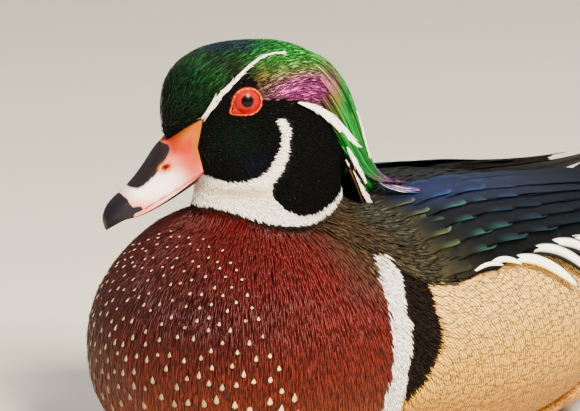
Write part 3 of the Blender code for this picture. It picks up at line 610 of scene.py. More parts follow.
def lie_of(points, normals):
    """The unit direction, along the skin, that the feathers point in."""
    head = to_head(points)
    away = normalised(head - BILL_BASE)
    f, up = head[:, 0], head[:, 2]
    away[:, 2] -= step(-8, -36, f) * 0.55 + step(-24, -44, up) * 0.9
    away[:, 0] -= 0.25 * step(0, 12, up)
    on_head = head_way(away)
    out = normalised(points - NECK_FOOT)
    out[:, 2] -= 0.25 * step(60, 90, points[:, 0])
    back = np.tile(np.array((-1.0, 0.0, -0.24)), (len(points), 1))
    back[:, 2] += 0.3 * step(60, 90, points[:, 2])
    share = step(40, 4, points[:, 0])[:, None]
    on_body = out * (1 - share) + back * share
    collar = line_height(COLLAR_LINE, f)
    share = step(-2.0, 2.0, up - collar)[:, None]
    way = on_body * (1 - share) + on_head * share
    way -= normals * (way * normals).sum(1, keepdims=True)
    return normalised(way)


print("feathers on the back point",
      lie_of(np.array([[-20.0, 0.0, 99.0]]), np.array([[0.0, 0.0, 1.0]])).round(2))

# %% [markdown]
# Roots are scattered over the skin's faces by area and then thinned, so that no two lie
# nearer than the feathers there ask for. The draw is seeded, so every run grows the same coat.

# %% Roots of the feathers
RNG = np.random.default_rng(7)


def skin_faces():
    mesh = skin.data
    mesh.calc_loop_triangles()
    count = len(mesh.loop_triangles)
    corners = np.empty(count * 3, np.int32)
    mesh.loop_triangles.foreach_get("vertices", corners)
    loops = np.empty(count * 3, np.int32)
    mesh.loop_triangles.foreach_get("loops", loops)
    uv = np.empty(len(mesh.loops) * 2, np.float32)
    mesh.uv_layers["OFBake"].data.foreach_get("uv", uv)
    normals = np.empty(len(mesh.vertices) * 3, np.float32)
    mesh.vertices.foreach_get("normal", normals)
    return (corners.reshape(-1, 3), uv.reshape(-1, 2)[loops.reshape(-1, 3)],
            normals.reshape(-1, 3).astype(float))


TRIANGLES, TRIANGLE_UV, SKIN_NORMALS = skin_faces()
SKIN_TREE = BVHTree.FromPolygons(skin_points.tolist(), TRIANGLES.tolist())


# How far apart feathers stand, in millimetres
SPACING = {"crown": 0.62, "mask": 0.54, "throat": 0.46, "collar_edge": 0.5, "breast": 0.86,
           "mantle": 2.3, "bar_white": 0.6, "bar_black": 0.7, "flank": 1.5, "belly": 3.6,
           "rump": 3.0}
CLOSER_ON_SHOULDER = 1.5

def spacing_of(points, region):
    """The spacing at each point, closer on the shoulder than on the rest of the back."""
    wide = np.array([SPACING[name] for name in REGIONS])[region]
    front = step(0, 14, points[:, 0]) * (region == REGION["mantle"])
    return wide - CLOSER_ON_SHOULDER * front

def scatter_roots(tries):
    """Seeded roots on the skin: points, normals, places on the unwrap and regions."""
    a, b, c = (skin_points[TRIANGLES[:, i]] for i in range(3))
    middles = (a + b + c) / 3
    areas = np.linalg.norm(np.cross(b - a, c - a), axis=1) / 2
    weight = areas / spacing_of(middles, region_of(middles)) ** 2
    chosen = RNG.choice(len(TRIANGLES), tries, p=weight / weight.sum())
    r = RNG.random((tries, 2))
    flip = r.sum(1) > 1
    r[flip] = 1 - r[flip]
    shares = np.stack((1 - r.sum(1), r[:, 0], r[:, 1]), 1)[:, :, None]
    points = (skin_points[TRIANGLES[chosen]] * shares).sum(1)
    normals = normalised((SKIN_NORMALS[TRIANGLES[chosen]] * shares).sum(1))
    uv = (TRIANGLE_UV[chosen] * shares).sum(1)
    region = region_of(points)
    keep = thin_out(points, spacing_of(points, region))
    return points[keep], normals[keep], uv[keep], region[keep]


CELL = 4.0            # side of the cells in which kept roots are filed

def thin_out(points, spacing):
    """Keeps a point only where no kept one is nearer than its spacing."""
    shelf, kept = {}, []
    for number, (x, y, z) in enumerate(points.tolist()):
        near = spacing[number]
        limit = near * near
        cells = [range(int((value - near) // CELL), int((value + near) // CELL) + 1)
                 for value in (x, y, z)]
        neighbours = (place for key in product(*cells) for place in shelf.get(key, ()))
        if all((px - x) ** 2 + (py - y) ** 2 + (pz - z) ** 2 >= limit
               for px, py, pz in neighbours):
            shelf.setdefault((int(x // CELL), int(y // CELL), int(z // CELL)), []).append((x, y, z))
            kept.append(number)
    return np.array(kept)

ROOT_TRIES = 620000
ROOTS, ROOT_NORMALS, ROOT_UV, ROOT_REGION = scatter_roots(ROOT_TRIES)
ROOT_LIES = lie_of(ROOTS, ROOT_NORMALS)
print("roots:", {name: int((ROOT_REGION == number).sum()) for name, number in REGION.items()})

# %% [markdown]
# One maker builds a whole tract of feathers as one closed mesh. A feather is a few rings of a
# flat, ridged cross-section, laid along the skin from its root and drawn to a point at its
# tip. Every station is set on the skin below it and raised a little more than the one before,
# so feathers overlap like tiles. The ridge stands for the shaft, and catches the light.

# %% Feather maker
STRAND = ((-1, 0.0), (0, 1.0), (1, 0.0))
VANE = ((-1, 0.0), (-0.5, 0.6), (0, 1.0), (0.5, 0.6), (1, 0.0), (0, -0.5))
PATCH = 0.003         # a feather's patch on the bake map
FLOOR_GAP = 0.2       # millimetres: no feather goes below the floor
UNEVEN = 0.12         # how much the feathers' rise varies, as a share of it


def settle(points):
    """The nearest places on the skin, and the skin's normals there."""
    spots = np.empty_like(points)
    normals = np.empty_like(points)
    nearest = SKIN_TREE.find_nearest
    for number, point in enumerate(points.tolist()):
        spot, normal, _, _ = nearest(point)
        spots[number] = spot
        normals[number] = normal
    return spots, normals


def station_shapes(shape):
    """Shares along a feather, and its half width and rise at each, read from short lists."""
    along = np.linspace(0, 1, shape["stations"] + 1)
    width = np.interp(along, np.linspace(0, 1, len(shape["outline"])), shape["outline"])
    rise = np.interp(along, np.linspace(0, 1, len(shape["rise"])), shape["rise"])
    return along, width, rise


def sweep(middles, sides, ups, halves, section, thick):
    """Rings of a cross-section swept along each feather's middle line, and its tip."""
    section = np.array(section, float)
    across = sides[:, :-1, None] * section[:, :1] * halves[:, :-1, None, None]
    over = ups[:, :-1, None] * section[:, 1:] * thick
    return middles[:, :-1, None] + across + over, middles[:, -1]


def lay_feathers(roots, normals, lies, length, width, shape):
    """The rings and tips of feathers that lie along the skin from their roots."""
    along, outline, rise = station_shapes(shape)
    count = len(roots)
    swing = RNG.normal(0, shape["stray"], count)
    ways = normalised(lies + np.cross(normals, lies) * swing[:, None])
    lift = 1 + RNG.normal(0, shape.get("uneven", UNEVEN), count)
    bed = shape["spread"] * RNG.random(count)
    spots, ups = roots, normals
    middles, all_sides, all_ups = [], [], []
    for number in range(len(along)):
        if number:
            move = (along[number] - along[number - 1]) * length
            spots, ups = settle(spots + ways * move[:, None])
            ups = normalised(ups + normals * 0.4)
            ways = normalised(ways - ups * (ways * ups).sum(1, keepdims=True))
        middles.append(spots + ups * (rise[number] * lift + bed)[:, None])
        all_ups.append(ups)
        all_sides.append(np.cross(ups, ways))
    halves = width[:, None] / 2 * outline[None]
    return sweep(np.stack(middles, 1), np.stack(all_sides, 1), np.stack(all_ups, 1), halves,
                 shape["section"], shape["thick"])


def tract_faces(count, rings, corners):
    """Corner numbers of all triangles of a tract, every feather closed at root and tip."""
    per = rings * corners + 1
    quads = []
    for ring in range(rings - 1):
        for i in range(corners):
            j = (i + 1) % corners
            a, b = ring * corners, (ring + 1) * corners
            quads.append((a + i, b + i, b + j))
            quads.append((a + i, b + j, a + j))
    last = (rings - 1) * corners
    for i in range(corners):
        quads.append((last + i, per - 1, last + (i + 1) % corners))
    for i in range(1, corners - 1):
        quads.append((0, i, i + 1))
    pattern = np.array(quads)[None] + (np.arange(count) * per)[:, None, None]
    return pattern.reshape(-1, 3), per


def make_tract(name, swept, uv, shape, colours, material):
    """A tract of swept feathers as one mesh object, with its tint and its two maps."""
    rings, tips = swept
    count, ring_count, corners = rings.shape[:3]
    faces, per = tract_faces(count, ring_count, corners)
    points = np.concatenate((rings.reshape(count, -1, 3), tips[:, None]), 1).reshape(-1, 3)
    section = np.array(shape["section"])
    across = np.concatenate((np.tile(section[:, 0] / 2 + 0.5, ring_count), [0.5]))
    along = np.concatenate((np.repeat(np.linspace(0, 1, ring_count + 1)[:-1], corners), [1.0]))
    local = np.tile(np.stack((across, along), 1), (count, 1))
    tint = colours(points, np.repeat(np.arange(count), per), local)
    return build_mesh(name, points, faces, tint, local, np.repeat(uv, per, 0), material)


def build_mesh(name, points, faces, tint, local, places, material):
    mesh = bpy.data.meshes.new(name)
    mesh.vertices.add(len(points))
    points[:, 2] = np.maximum(points[:, 2], FLOOR_GAP)
    mesh.vertices.foreach_set("co", (points * MM).astype(np.float32).ravel())
    mesh.loops.add(faces.size)
    mesh.loops.foreach_set("vertex_index", faces.astype(np.int32).ravel())
    mesh.polygons.add(len(faces))
    starts = np.arange(0, faces.size, 3, dtype=np.int32)
    mesh.polygons.foreach_set("loop_start", starts)
    mesh.polygons.foreach_set("use_smooth", np.ones(len(faces), bool))
    mesh.update(calc_edges=True)
    give_colours(mesh, tint)
    for title, values in (("OFBake", places + (local - 0.5) * PATCH), ("vane", local)):
        layer = mesh.uv_layers.new(name=title)
        layer.data.foreach_set("uv", values[faces.ravel()].astype(np.float32).ravel())
    mesh.validate()
    thing = bpy.data.objects.new(name, mesh)
    bpy.context.scene.collection.objects.link(thing)
    mesh.materials.append(material)
    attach(thing, "root")
    return thing


print("corners of a strand and of a vane:", len(STRAND), len(VANE))

# %% [markdown]
# A feather's colour comes from its barbs, so each plumage material takes the tint that the
# marking function left on the mesh and breaks it up with fine slanted barbs drawn along the
# feather's own map. Satin feathers have a low, wide gloss, and the green and blue ones a
# metallic sheen, because their colour is made by thin layers in the barbs.

# %% Plumage material


def feather_material(name, roughness, metallic, barbs, contrast, specular):
    """Plumage with slanted barbs, given their number along a feather and their contrast."""
    material, tree, shader = new_material(name)
    tint = add_node(tree, "ShaderNodeAttribute", {"attribute_name": "tint"})
    local = add_node(tree, "ShaderNodeUVMap", {"uv_map": "vane"})
    split = add_node(tree, "ShaderNodeSeparateXYZ", inputs={"Vector": local.outputs["UV"]})
    centred = add_node(tree, "ShaderNodeMath", {"operation": "SUBTRACT"},
                       {0: split.outputs["X"], 1: 0.5})
    out = add_node(tree, "ShaderNodeMath", {"operation": "ABSOLUTE"}, {0: centred.outputs[0]})
    slant = add_node(tree, "ShaderNodeMath", {"operation": "MULTIPLY_ADD"},
                     {0: out.outputs[0], 1: -0.7, 2: split.outputs["Y"]})
    line = add_node(tree, "ShaderNodeCombineXYZ", inputs={"X": slant.outputs[0]})
    wave = add_node(tree, "ShaderNodeTexWave", {"bands_direction": "X"},
                    {"Vector": line.outputs[0], "Scale": barbs, "Distortion": 1.2, "Detail": 1.0})
    place = add_node(tree, "ShaderNodeTexCoord")
    grain = add_node(tree, "ShaderNodeTexNoise",
                     inputs={"Vector": place.outputs["Object"], "Scale": 420.0, "Detail": 3.0})
    both = add_node(tree, "ShaderNodeMath", {"operation": "MULTIPLY"},
                    {0: wave.outputs["Fac"], 1: grain.outputs["Fac"]})
    shade = add_node(tree, "ShaderNodeMapRange",
                     inputs={"Value": both.outputs[0], "From Min": 0.0, "From Max": 0.6,
                             "To Min": 1 - contrast, "To Max": 1 + contrast * 0.6})
    colour = add_node(tree, "ShaderNodeVectorMath", {"operation": "SCALE"},
                      {"Vector": tint.outputs["Color"], "Scale": shade.outputs["Result"]})
    bump = add_node(tree, "ShaderNodeBump",
                    inputs={"Height": wave.outputs["Fac"], "Strength": 0.2, "Distance": 0.0002})
    tree.links.new(colour.outputs["Vector"], shader.inputs["Base Color"])
    tree.links.new(bump.outputs["Normal"], shader.inputs["Normal"])
    shader.inputs["Roughness"].default_value = roughness
    shader.inputs["Metallic"].default_value = metallic
    shader.inputs["Specular IOR Level"].default_value = specular
    return material


# Keratin barbs over a thin bright film: a metallic green satin
CROWN_SATIN = feather_material("iridescent_feather", 0.36, 0.45, 6, 0.5, 0.2)
# Black feathers of velvet barbs, which drink the light
MASK_VELVET = feather_material("velvet_feather", 0.95, 0.0, 6, 0.3, 0.08)
# White feathers: loose matt barbs
WHITE_DOWN = feather_material("white_feather", 0.85, 0.0, 8, 0.05, 0.2)
# Chestnut breast feathers: smooth and glossy
CHESTNUT = feather_material("chestnut_feather", 0.36, 0.0, 5, 0.25, 0.2)
# Brown back feathers: a dull satin
MANTLE_SATIN = feather_material("mantle_feather", 0.5, 0.2, 10, 0.5, 0.15)


FINE_LINE_CENTRE = (34.0, 0.0, 26.0)
FINE_LINES = 300.0    # about one line in a millimetre

def flank_material():
    """Golden barbs crossed by fine dark wavy lines, which spread from the black bar's foot."""
    material = feather_material("vermiculated_feather", 0.65, 0.0, 12, 0.08, 0.2)
    tree = material.node_tree
    shader = tree.nodes["Principled BSDF"]
    base = shader.inputs["Base Color"].links[0].from_socket
    place = add_node(tree, "ShaderNodeTexCoord")
    centred = add_node(tree, "ShaderNodeMapping",
                       inputs={"Vector": place.outputs["Object"],
                               "Location": tuple(-v * MM for v in FINE_LINE_CENTRE)})
    wave = add_node(tree, "ShaderNodeTexWave", {"wave_type": "RINGS", "rings_direction": "Y"},
                    {"Vector": centred.outputs["Vector"], "Scale": FINE_LINES,
                     "Distortion": 7.0, "Detail": 2.0, "Detail Scale": 1.1,
                     "Detail Roughness": 0.5})
    dark = add_node(tree, "ShaderNodeMapRange",
                    inputs={"Value": wave.outputs["Fac"], "From Min": 0.2, "From Max": 0.7,
                            "To Min": 0.34, "To Max": 1.15})
    colour = add_node(tree, "ShaderNodeVectorMath", {"operation": "SCALE"},
                      {0: base, "Scale": dark.outputs["Result"]})
    tree.links.new(colour.outputs["Vector"], shader.inputs["Base Color"])
    return material


FLANK_FEATHER = flank_material()
print("plumage materials made")

# %% [markdown]
# The coat is grown tract by tract. The smallest feathers are on the face, the longest of the
# small ones on the breast, where the barbs cling together as fine strands.

# %% Small feathers
FINE = {"section": STRAND, "stations": 3, "outline": (0.8, 1.0, 0.8, 0.3), "thick": 0.07,
        "rise": (-0.1, 0.45, 0.65, 0.75), "spread": 0.22, "stray": 0.07}
PLUSH = dict(FINE, rise=(-0.1, 0.4, 0.55, 0.6), spread=0.08, thick=0.05, stray=0.1)
LONG = {"section": STRAND, "stations": 3, "outline": (0.7, 1.0, 0.85, 0.35), "thick": 0.06,
        "rise": (-0.2, 0.9, 1.2, 1.35), "spread": 0.1, "stray": 0.025}
BAR = dict(LONG, rise=(-0.2, 0.8, 1.1, 1.2), thick=0.04, stray=0.03)
FUZZY = dict(LONG, rise=(0.2, 1.2, 1.6, 1.8), thick=0.05, spread=0.25, stray=0.12)
SLEEK = {"section": VANE, "stations": 4, "outline": (0.6, 0.95, 1.0, 0.8, 0.3),
         "thick": 0.07, "rise": (0.4, 1.3, 1.5, 1.55, 1.6), "spread": 0.12, "stray": 0.04}
FLAT = dict(SLEEK, thick=0.03, rise=(1.1, 1.4, 1.46, 1.49, 1.52), spread=0.02, uneven=0.02)
BROAD = {"section": VANE, "stations": 5, "outline": (0.6, 0.95, 1.0, 0.95, 0.75, 0.3),
         "thick": 0.2, "rise": (-0.2, 0.8, 1.3, 1.6, 1.8, 1.95), "spread": 0.3, "stray": 0.06}


def tract_tint(roots, lies, length, tone_and_glints, root_shade, reach=0.5):
    """A tint for each point of a tract, from the markings at a share along its feather."""
    spots = roots + lies * (length * reach)[:, None]
    base = plumage(spots, region_of(spots))
    if isinstance(tone_and_glints, tuple):
        # A tuple paints a share of the feathers brighter than the rest as painted glints; a single
        # number varies their tone at random
        dull, bright, share = tone_and_glints
        shade = np.where(RNG.random(len(roots)) < share, bright, dull)
        shade = shade * (1 + RNG.normal(0, 0.15, len(roots)))
    else:
        shade = 1 + RNG.normal(0, tone_and_glints, len(roots))
    base = base * shade[:, None]

    def tint(points, feather, local):
        # Painted shade: each feather is darker at its root, deep in the coat, and brightens towards
        # its tip
        fade = root_shade + (1.05 - root_shade) * local[:, 1]
        return np.clip(base[feather] * fade[:, None], 0, 1)
    return tint


def grow_region(name, regions, length, width, shape, tone_and_glints, material, side=0, root_shade=0.72,
                where=None):
    chosen = np.isin(ROOT_REGION, [REGION[region] for region in regions])
    if where is not None:
        chosen &= where
    if side:
        chosen &= (ROOTS[:, 1] >= 0) == (side > 0)
    chosen &= ~near_bare_skin(ROOTS)
    roots, lies = ROOTS[chosen], ROOT_LIES[chosen]
    count = len(roots)
    lengths = length * (1 + 0.15 * RNG.normal(size=count))
    widths = width * (1 + 0.12 * RNG.normal(size=count))
    tint = tract_tint(roots, lies, lengths, tone_and_glints, root_shade)
    swept = lay_feathers(roots, ROOT_NORMALS[chosen], lies, lengths, widths, shape)
    thing = make_tract(name, swept, ROOT_UV[chosen], shape, tint, material)
    print(name, count, "feathers", len(thing.data.polygons), "triangles")
    return thing


BILL_PATCH = ((16.2, -6.2), (20.5, -9.3), (24, -12.3), (27.5, -15.6), (30.4, -18), (60, -18),
              (60, -50), (23, -33), (16.3, -26.5), (18.2, -17))
# The eyeball's middle, its radius, and the directions out of it, forward and up
EYE_PLACE = np.array((0.4, 12.3, 0.5))
EYE_RADIUS = 6.3
EYE_OUT = normalised(np.array((0.16, 1.0, 0.05)))
EYE_AHEAD = normalised(np.array((1.0, -0.16, 0.0)))
EYE_UP = np.cross(EYE_AHEAD, EYE_OUT)
# The lids' outline round the eye's axis, pointed low in front: forward and up
LID_OUTLINE = np.array((
    (6.6, -4.9), (6.0, -2.0), (5.4, 0.9), (4.4, 2.9), (2.6, 4.4), (0.6, 5.0), (-1.4, 5.0),
    (-3.6, 4.3), (-5.3, 2.6), (-6.0, 0.6), (-5.9, -1.6), (-4.8, -3.8), (-2.8, -5.3),
    (-0.4, -5.9), (1.8, -5.9), (3.8, -5.7), (5.6, -5.6)))


LID_MARGIN = 0.96     # feathers start a little inside the lids' outer edge

def eye_view(points):
    """Points of either side seen along the eye's axis: how far ahead, up and out."""
    head = to_head(points)
    head[:, 1] = np.abs(head[:, 1])
    away = head - EYE_PLACE
    return away @ EYE_AHEAD, away @ EYE_UP, away @ EYE_OUT

def near_bare_skin(points):
    """Points within the lids or under the bill, where no feather grows."""
    head = to_head(points)
    ahead, up, out = eye_view(points)
    in_lids = inside(LID_OUTLINE * LID_MARGIN, ahead, up) & (out > 0)
    return in_lids | inside(BILL_PATCH, head[:, 0], head[:, 2])


FRONT = ROOTS[:, 0] > 4
coat = [
    # Painted glints: about a quarter of the crown's strands are painted four times as bright as the
    # rest
    grow_region("crown_coat", ("crown",), 4.6, 0.55, FINE, (0.5, 2.0, 0.27), CROWN_SATIN),
    grow_region("mask_coat", ("mask",), 2.0, 0.6, PLUSH, 0.2, MASK_VELVET),
    grow_region("throat_coat", ("throat",), 2.4, 0.55, PLUSH, 0.02, WHITE_DOWN, root_shade=0.97),
    grow_region("collar_edge_coat", ("collar_edge",), 1.8, 0.6, PLUSH, 0.2, MASK_VELVET),
    grow_region("breast_coat_left", ("breast",), 10.0, 1.0, LONG, 0.14, CHESTNUT, 1, 0.9),
    grow_region("breast_coat_right", ("breast",), 10.0, 1.0, LONG, 0.14, CHESTNUT, -1, 0.9),
    grow_region("white_bar_coat", ("bar_white",), 3.2, 0.62, BAR, 0.02, WHITE_DOWN,
                root_shade=0.97),
    grow_region("black_bar_coat", ("bar_black",), 4.0, 0.7, BAR, 0.3, MASK_VELVET),
    # Painted glints: a share of the shoulder's feathers is painted brighter than the rest
    grow_region("shoulder_coat", ("mantle",), 6.5, 1.1, FUZZY, (0.75, 1.6, 0.3),
                MANTLE_SATIN, 0, 0.95, FRONT),
    grow_region("mantle_coat", ("mantle",), 10.0, 4.8, SLEEK, 0.25, MANTLE_SATIN, 0, 0.8, ~FRONT),
    grow_region("flank_coat_left", ("flank",), 8.0, 3.4, FLAT, 0.03, FLANK_FEATHER, 1, 1.0),
    grow_region("flank_coat_right", ("flank",), 8.0, 3.4, FLAT, 0.03, FLANK_FEATHER, -1, 1.0),
    grow_region("belly_coat", ("belly",), 12.0, 7.0, BROAD, 0.04, WHITE_DOWN, root_shade=0.9),
    grow_region("rump_coat", ("rump",), 11.0, 6.0, BROAD, 0.2, MASK_VELVET),
]
skin_material, tree, shader = new_material("bird_skin")
tint = add_node(tree, "ShaderNodeAttribute", {"attribute_name": "tint"})
tree.links.new(tint.outputs["Color"], shader.inputs["Base Color"])
shader.inputs["Roughness"].default_value = 0.8
skin.data.materials.append(skin_material)
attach(skin, "root")
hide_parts("torso", "neck", "head")
print("coat of", sum(len(t.data.polygons) for t in coat), "triangles")

# %% [markdown]
# The folded wing is a roof of tiers: broad scapulars over the shoulder, then the coverts, the
# long tertials that cloak the back, and the narrow primaries that reach furthest. Each vane is
# swept over the surface that the wing lies on, from its root towards the tail. It starts low,
# under the tips of the tier in front, and rises to its own tip. Both sides are made in the
# same way, and the right one is then turned over.

# %% Vanes over the body
FINE_CLOAK = np.array([smooth_row(CLOAK, p) for p in np.linspace(0, len(CLOAK) - 1, 400)])
FINE_BODY = np.array([smooth_row(BODY, p) for p in np.linspace(0, len(BODY) - 1, 400)])
WIDE_VANE = ((-1, 0.0), (-0.85, 0.15), (-0.55, 0.4), (-0.2, 0.6), (0, 1.0), (0.2, 0.6),
             (0.55, 0.4), (0.85, 0.15), (1, 0.0), (0.5, -0.4), (-0.5, -0.4))


def table_flat(table, x, turn):
    """Points of a body surface at places along X and turns round it."""
    order = np.argsort(table[:, 0])
    half, low, middle, top = (np.interp(x, table[order, 0], table[order, i]) for i in (1, 2, 3, 4))
    side, height = np.sin(turn), np.cos(turn)
    reach = np.where(height > 0, top - middle, middle - low)
    power = np.where(height > 0, ROUND_TOP, ROUND_UNDER)
    return np.stack((x, half * signed_power(side, power),
                     middle + reach * signed_power(height, power)), -1)


def table_surface(table, x, turn):
    """Points of a body surface and its outward normals."""
    point = table_flat(table, x, turn)
    along = table_flat(table, x + 1.5, turn) - table_flat(table, x - 1.5, turn)
    around = table_flat(table, x, turn + 0.03) - table_flat(table, x, turn - 0.03)
    return point, normalised(np.cross(along, around))


def vane_sweep(table, vanes, shape):
    """Sweeps vanes over a body surface. Each is root x, turn, length, width, lift and inward."""
    vanes = np.array(vanes, float)
    x0, turn0, length, width, lift, inward = (vanes[:, i, None] for i in range(6))
    along, outline, rise = station_shapes(shape)
    aim = np.radians(inward)
    x = x0 - length * along * np.cos(aim)
    girth = np.linalg.norm(table_flat(table, x, np.radians(turn0) + 0.1)
                           - table_flat(table, x, np.radians(turn0) - 0.1), axis=-1) / 0.2
    bow = shape["bow"] * width * np.sin(np.pi * along)
    turn = np.radians(turn0) - (length * along * np.sin(aim) + bow) / girth
    point, up = table_surface(table, x, turn)
    way = normalised(np.gradient(point, axis=1))
    side = normalised(np.cross(up, way))
    middle = point + up * (lift + rise[None])[..., None]
    halves = width / 2 * outline[None]
    side = normalised(side + up * shape["tilt"])
    return sweep(middle, side, up, halves, shape["section"], shape["thick"])


def mirrored(swept, section):
    """The same vanes on the right side. The corners' order turns too, so faces still look out."""
    rings, tips = swept
    order = [section.index((-across, height)) for across, height in section]
    return rings[:, :, order] * FLIP, tips * FLIP


def patch_grid(count, column):
    """Places on the bake map for the long vanes: one row of patches for each side."""
    spots = (np.arange(count) + 0.5) / count
    return np.stack((spots, np.full(count, column)), 1)


# Tiers of the wing: root x, first and last turn in degrees, count, length, width, lift, kind
WING_TIERS = (
    (17, 21, 56, 7, 25, 13.5, -0.9, "scapular"),
    (7, 20, 56, 6, 30, 17, -0.2, "scapular"),
    (-5, 20, 54, 6, 34, 18, 0.5, "scapular"),
    (-18, 20, 52, 6, 39, 18, 1.1, "scapular"),
    (-32, 20, 50, 6, 45, 18, 1.7, "covert"),
    (-46, 21, 49, 6, 54, 17, 2.2, "covert"),
    (-60, 23, 47, 6, 62, 15, 2.6, "tertial"),
    (-82, 34, 50, 6, 73, 11, 1.4, "primary"),
)
ROUND_END = 0.76      # the share of a vane's length at which its end starts to round off
WING_SHAPE = {"section": WIDE_VANE, "stations": 20, "thick": 0.2, "bow": 0.06, "tilt": -0.05,
              "outline": [0.35, 0.6, 0.8, 0.92, 0.98, 1.0, 1.0, 1.0, 1.0, 1.0, 1.0, 1.0, 1.0, 1.0,
                          1.0, 1.0, 0.99, 0.93, 0.81, 0.61, 0.3],
              "rise": (-1.6, -0.3, 0.4, 0.8, 0.95, 1.0)}
PRIMARY_SHAPE = dict(WING_SHAPE, outline=(0.6, 0.9, 1.0, 0.95, 0.85, 0.7, 0.5, 0.2),
                     rise=(-0.4, 0.0, 0.3, 0.5, 0.7, 0.8))


def back_colours(points):
    """The folded wings are near black, slate on top and olive low in front."""
    x, side, z = points[:, 0], np.abs(points[:, 1]), points[:, 2]
    c = plain("#05070A", len(points))
    c = mix(c, "#1C2236", 0.9 * glow(x, side, (-45, 20), (40, 18)))
    c = mix(c, "#1C264C", 0.6 * glow(x, side, (-14, 26), (18, 9)))
    c = mix(c, "#1A1812", step(-16, 8, x) * step(90, 76, z))
    return mix(c, "#302C1E", 0.8 * step(0, 18, x))


def rim_colours(points):
    """The gloss on the vanes' ends: gold in front, then teal, then blue."""
    x, side = points[:, 0], np.abs(points[:, 1])
    c = plain("#1A2C3C", len(points))
    c = mix(c, "#30448A", 0.9 * glow(x, side, (-20, 26), (22, 12)))
    c = mix(c, "#2C5450", step(-36, -16, x) * step(30, 42, side))
    return mix(c, "#54582E", step(-12, 6, x) * 0.85)


RIM_STRENGTH = {"scapular": 0.95, "covert": 0.4, "tertial": 0.25, "primary": 0.25}


def wing_tint(kind, turns):
    """Colours of a wing vane: a dark blade and a narrow bright rim, fainter low on the wing."""
    strength, outline = RIM_STRENGTH[kind], WING_SHAPE["outline"]
    places = np.linspace(0, 1, len(outline))

    def tint(points, feather, local):
        along = local[:, 1]
        out = np.abs(local[:, 0] - 0.5) * 2 * np.interp(along, places, outline)
        reach = np.hypot(out, np.maximum(along - ROUND_END, 0) / (1 - ROUND_END))
        edge = step(0.78, 0.95, reach) * step(0.4, 0.7, along)
        c = back_colours(points)
        low = step(46, 56, turns[feather])
        weight = (edge * strength * (1 - 0.8 * low))[:, None]
        c = c * (1 - weight) + rim_colours(points) * weight
        return c * (1 + 0.25 * np.sin(feather * 2.3))[:, None]
    return tint


def wing(side):
    tracts = []
    for x, first, last, count, length, width, lift, kind in WING_TIERS:
        share = np.linspace(0, 1, count)
        turns = first + (last - first) * share
        noise = RNG.normal(size=(count, 4))
        if kind in ("tertial", "primary"):
            noise *= 0.35
        vanes = [(x + 2.2 * n[0], turn + 1.0 * n[1], length * (1 + 0.06 * n[2]), width,
                  lift + 0.12 * n[3], 1.5 + 2 * s + 1.8 * n[1])
                 for n, turn, s in zip(noise, turns, share)]
        shape = PRIMARY_SHAPE if kind == "primary" else WING_SHAPE
        swept = vane_sweep(FINE_CLOAK, vanes, shape)
        if side < 0:
            swept = mirrored(swept, WIDE_VANE)
        uv = patch_grid(count, (x + 100) / 160)
        tracts.append(make_tract("wing_tier", swept, uv, shape, wing_tint(kind, turns), WING_SATIN))
    select_only(tracts)
    bpy.ops.object.join()
    whole = bpy.context.object
    whole.name = "wing_vanes_left" if side > 0 else "wing_vanes_right"
    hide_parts("wing_left" if side > 0 else "wing_right")
    return whole


WING_SATIN = feather_material("wing_feather", 0.5, 0.15, 34, 0.35, 0.05)
for side in (1, -1):
    made = wing(side)
    print(made.name, len(made.data.polygons), "triangles")

# %% [markdown]
# The tail is a fan of long dark feathers. The middle pair lies on top, each pair further out
# is a little lower and shorter, and coverts close over the roots above and below.

# %% Tail
TAIL_PLACE = np.array((-124.0, 0.0, 78.5))
TAIL_SLOPE = math.radians(14)
TAIL_SPREAD = math.radians(2.3)
TAIL_SHAPE = {"section": WIDE_VANE, "stations": 14, "thick": 0.3,
              "outline": (0.4, 0.7, 0.9, 1.0, 1.0, 0.95, 0.8, 0.4), "rise": (0, 0)}


def tail_sweep(vanes, shape):
    """Sweeps tail feathers: start, length, width, height, fan angle, lift and droop of each."""
    vanes = np.array(vanes, float)
    start, length, width, height, turn, lift, droop = (vanes[:, i, None] for i in range(7))
    along, outline, _ = station_shapes(shape)
    back = np.array((-math.cos(TAIL_SLOPE), 0, math.sin(TAIL_SLOPE)))
    rise = np.array((math.sin(TAIL_SLOPE), 0, math.cos(TAIL_SLOPE)))
    reach = start + length * along
    up = height + lift * along - droop * along ** 2
    middle = (TAIL_PLACE + back * (reach * np.cos(turn))[..., None] + rise * up[..., None]
              + np.array((0, 1, 0)) * (reach * np.tan(turn))[..., None])
    way = normalised(np.gradient(middle, axis=1))
    side = normalised(np.cross(np.broadcast_to(rise, way.shape), way))
    halves = width / 2 * outline[None]
    return sweep(middle, side, normalised(np.cross(way, side)), halves, shape["section"],
                 shape["thick"])


COVERT_SPREAD = math.radians(3.2)
# Coverts over and under the tail: start, length, width, height, drop outwards, lift, droop
COVERTS = ((6, 50, 11, 4.6, 0.3, 3.0, 2.2), (2, 38, 11, 5.2, 0.3, 2.6, 2.0),
           (-16, 60, 13, 11.5, 0.5, 3.0, 2.5), (-14, 56, 13, 8.5, 0.5, 3.0, 2.5),
           (4, 60, 12, -4.4, -0.25, -3.4, -1.5), (0, 44, 12, -5.0, -0.25, -3.6, -1.5))

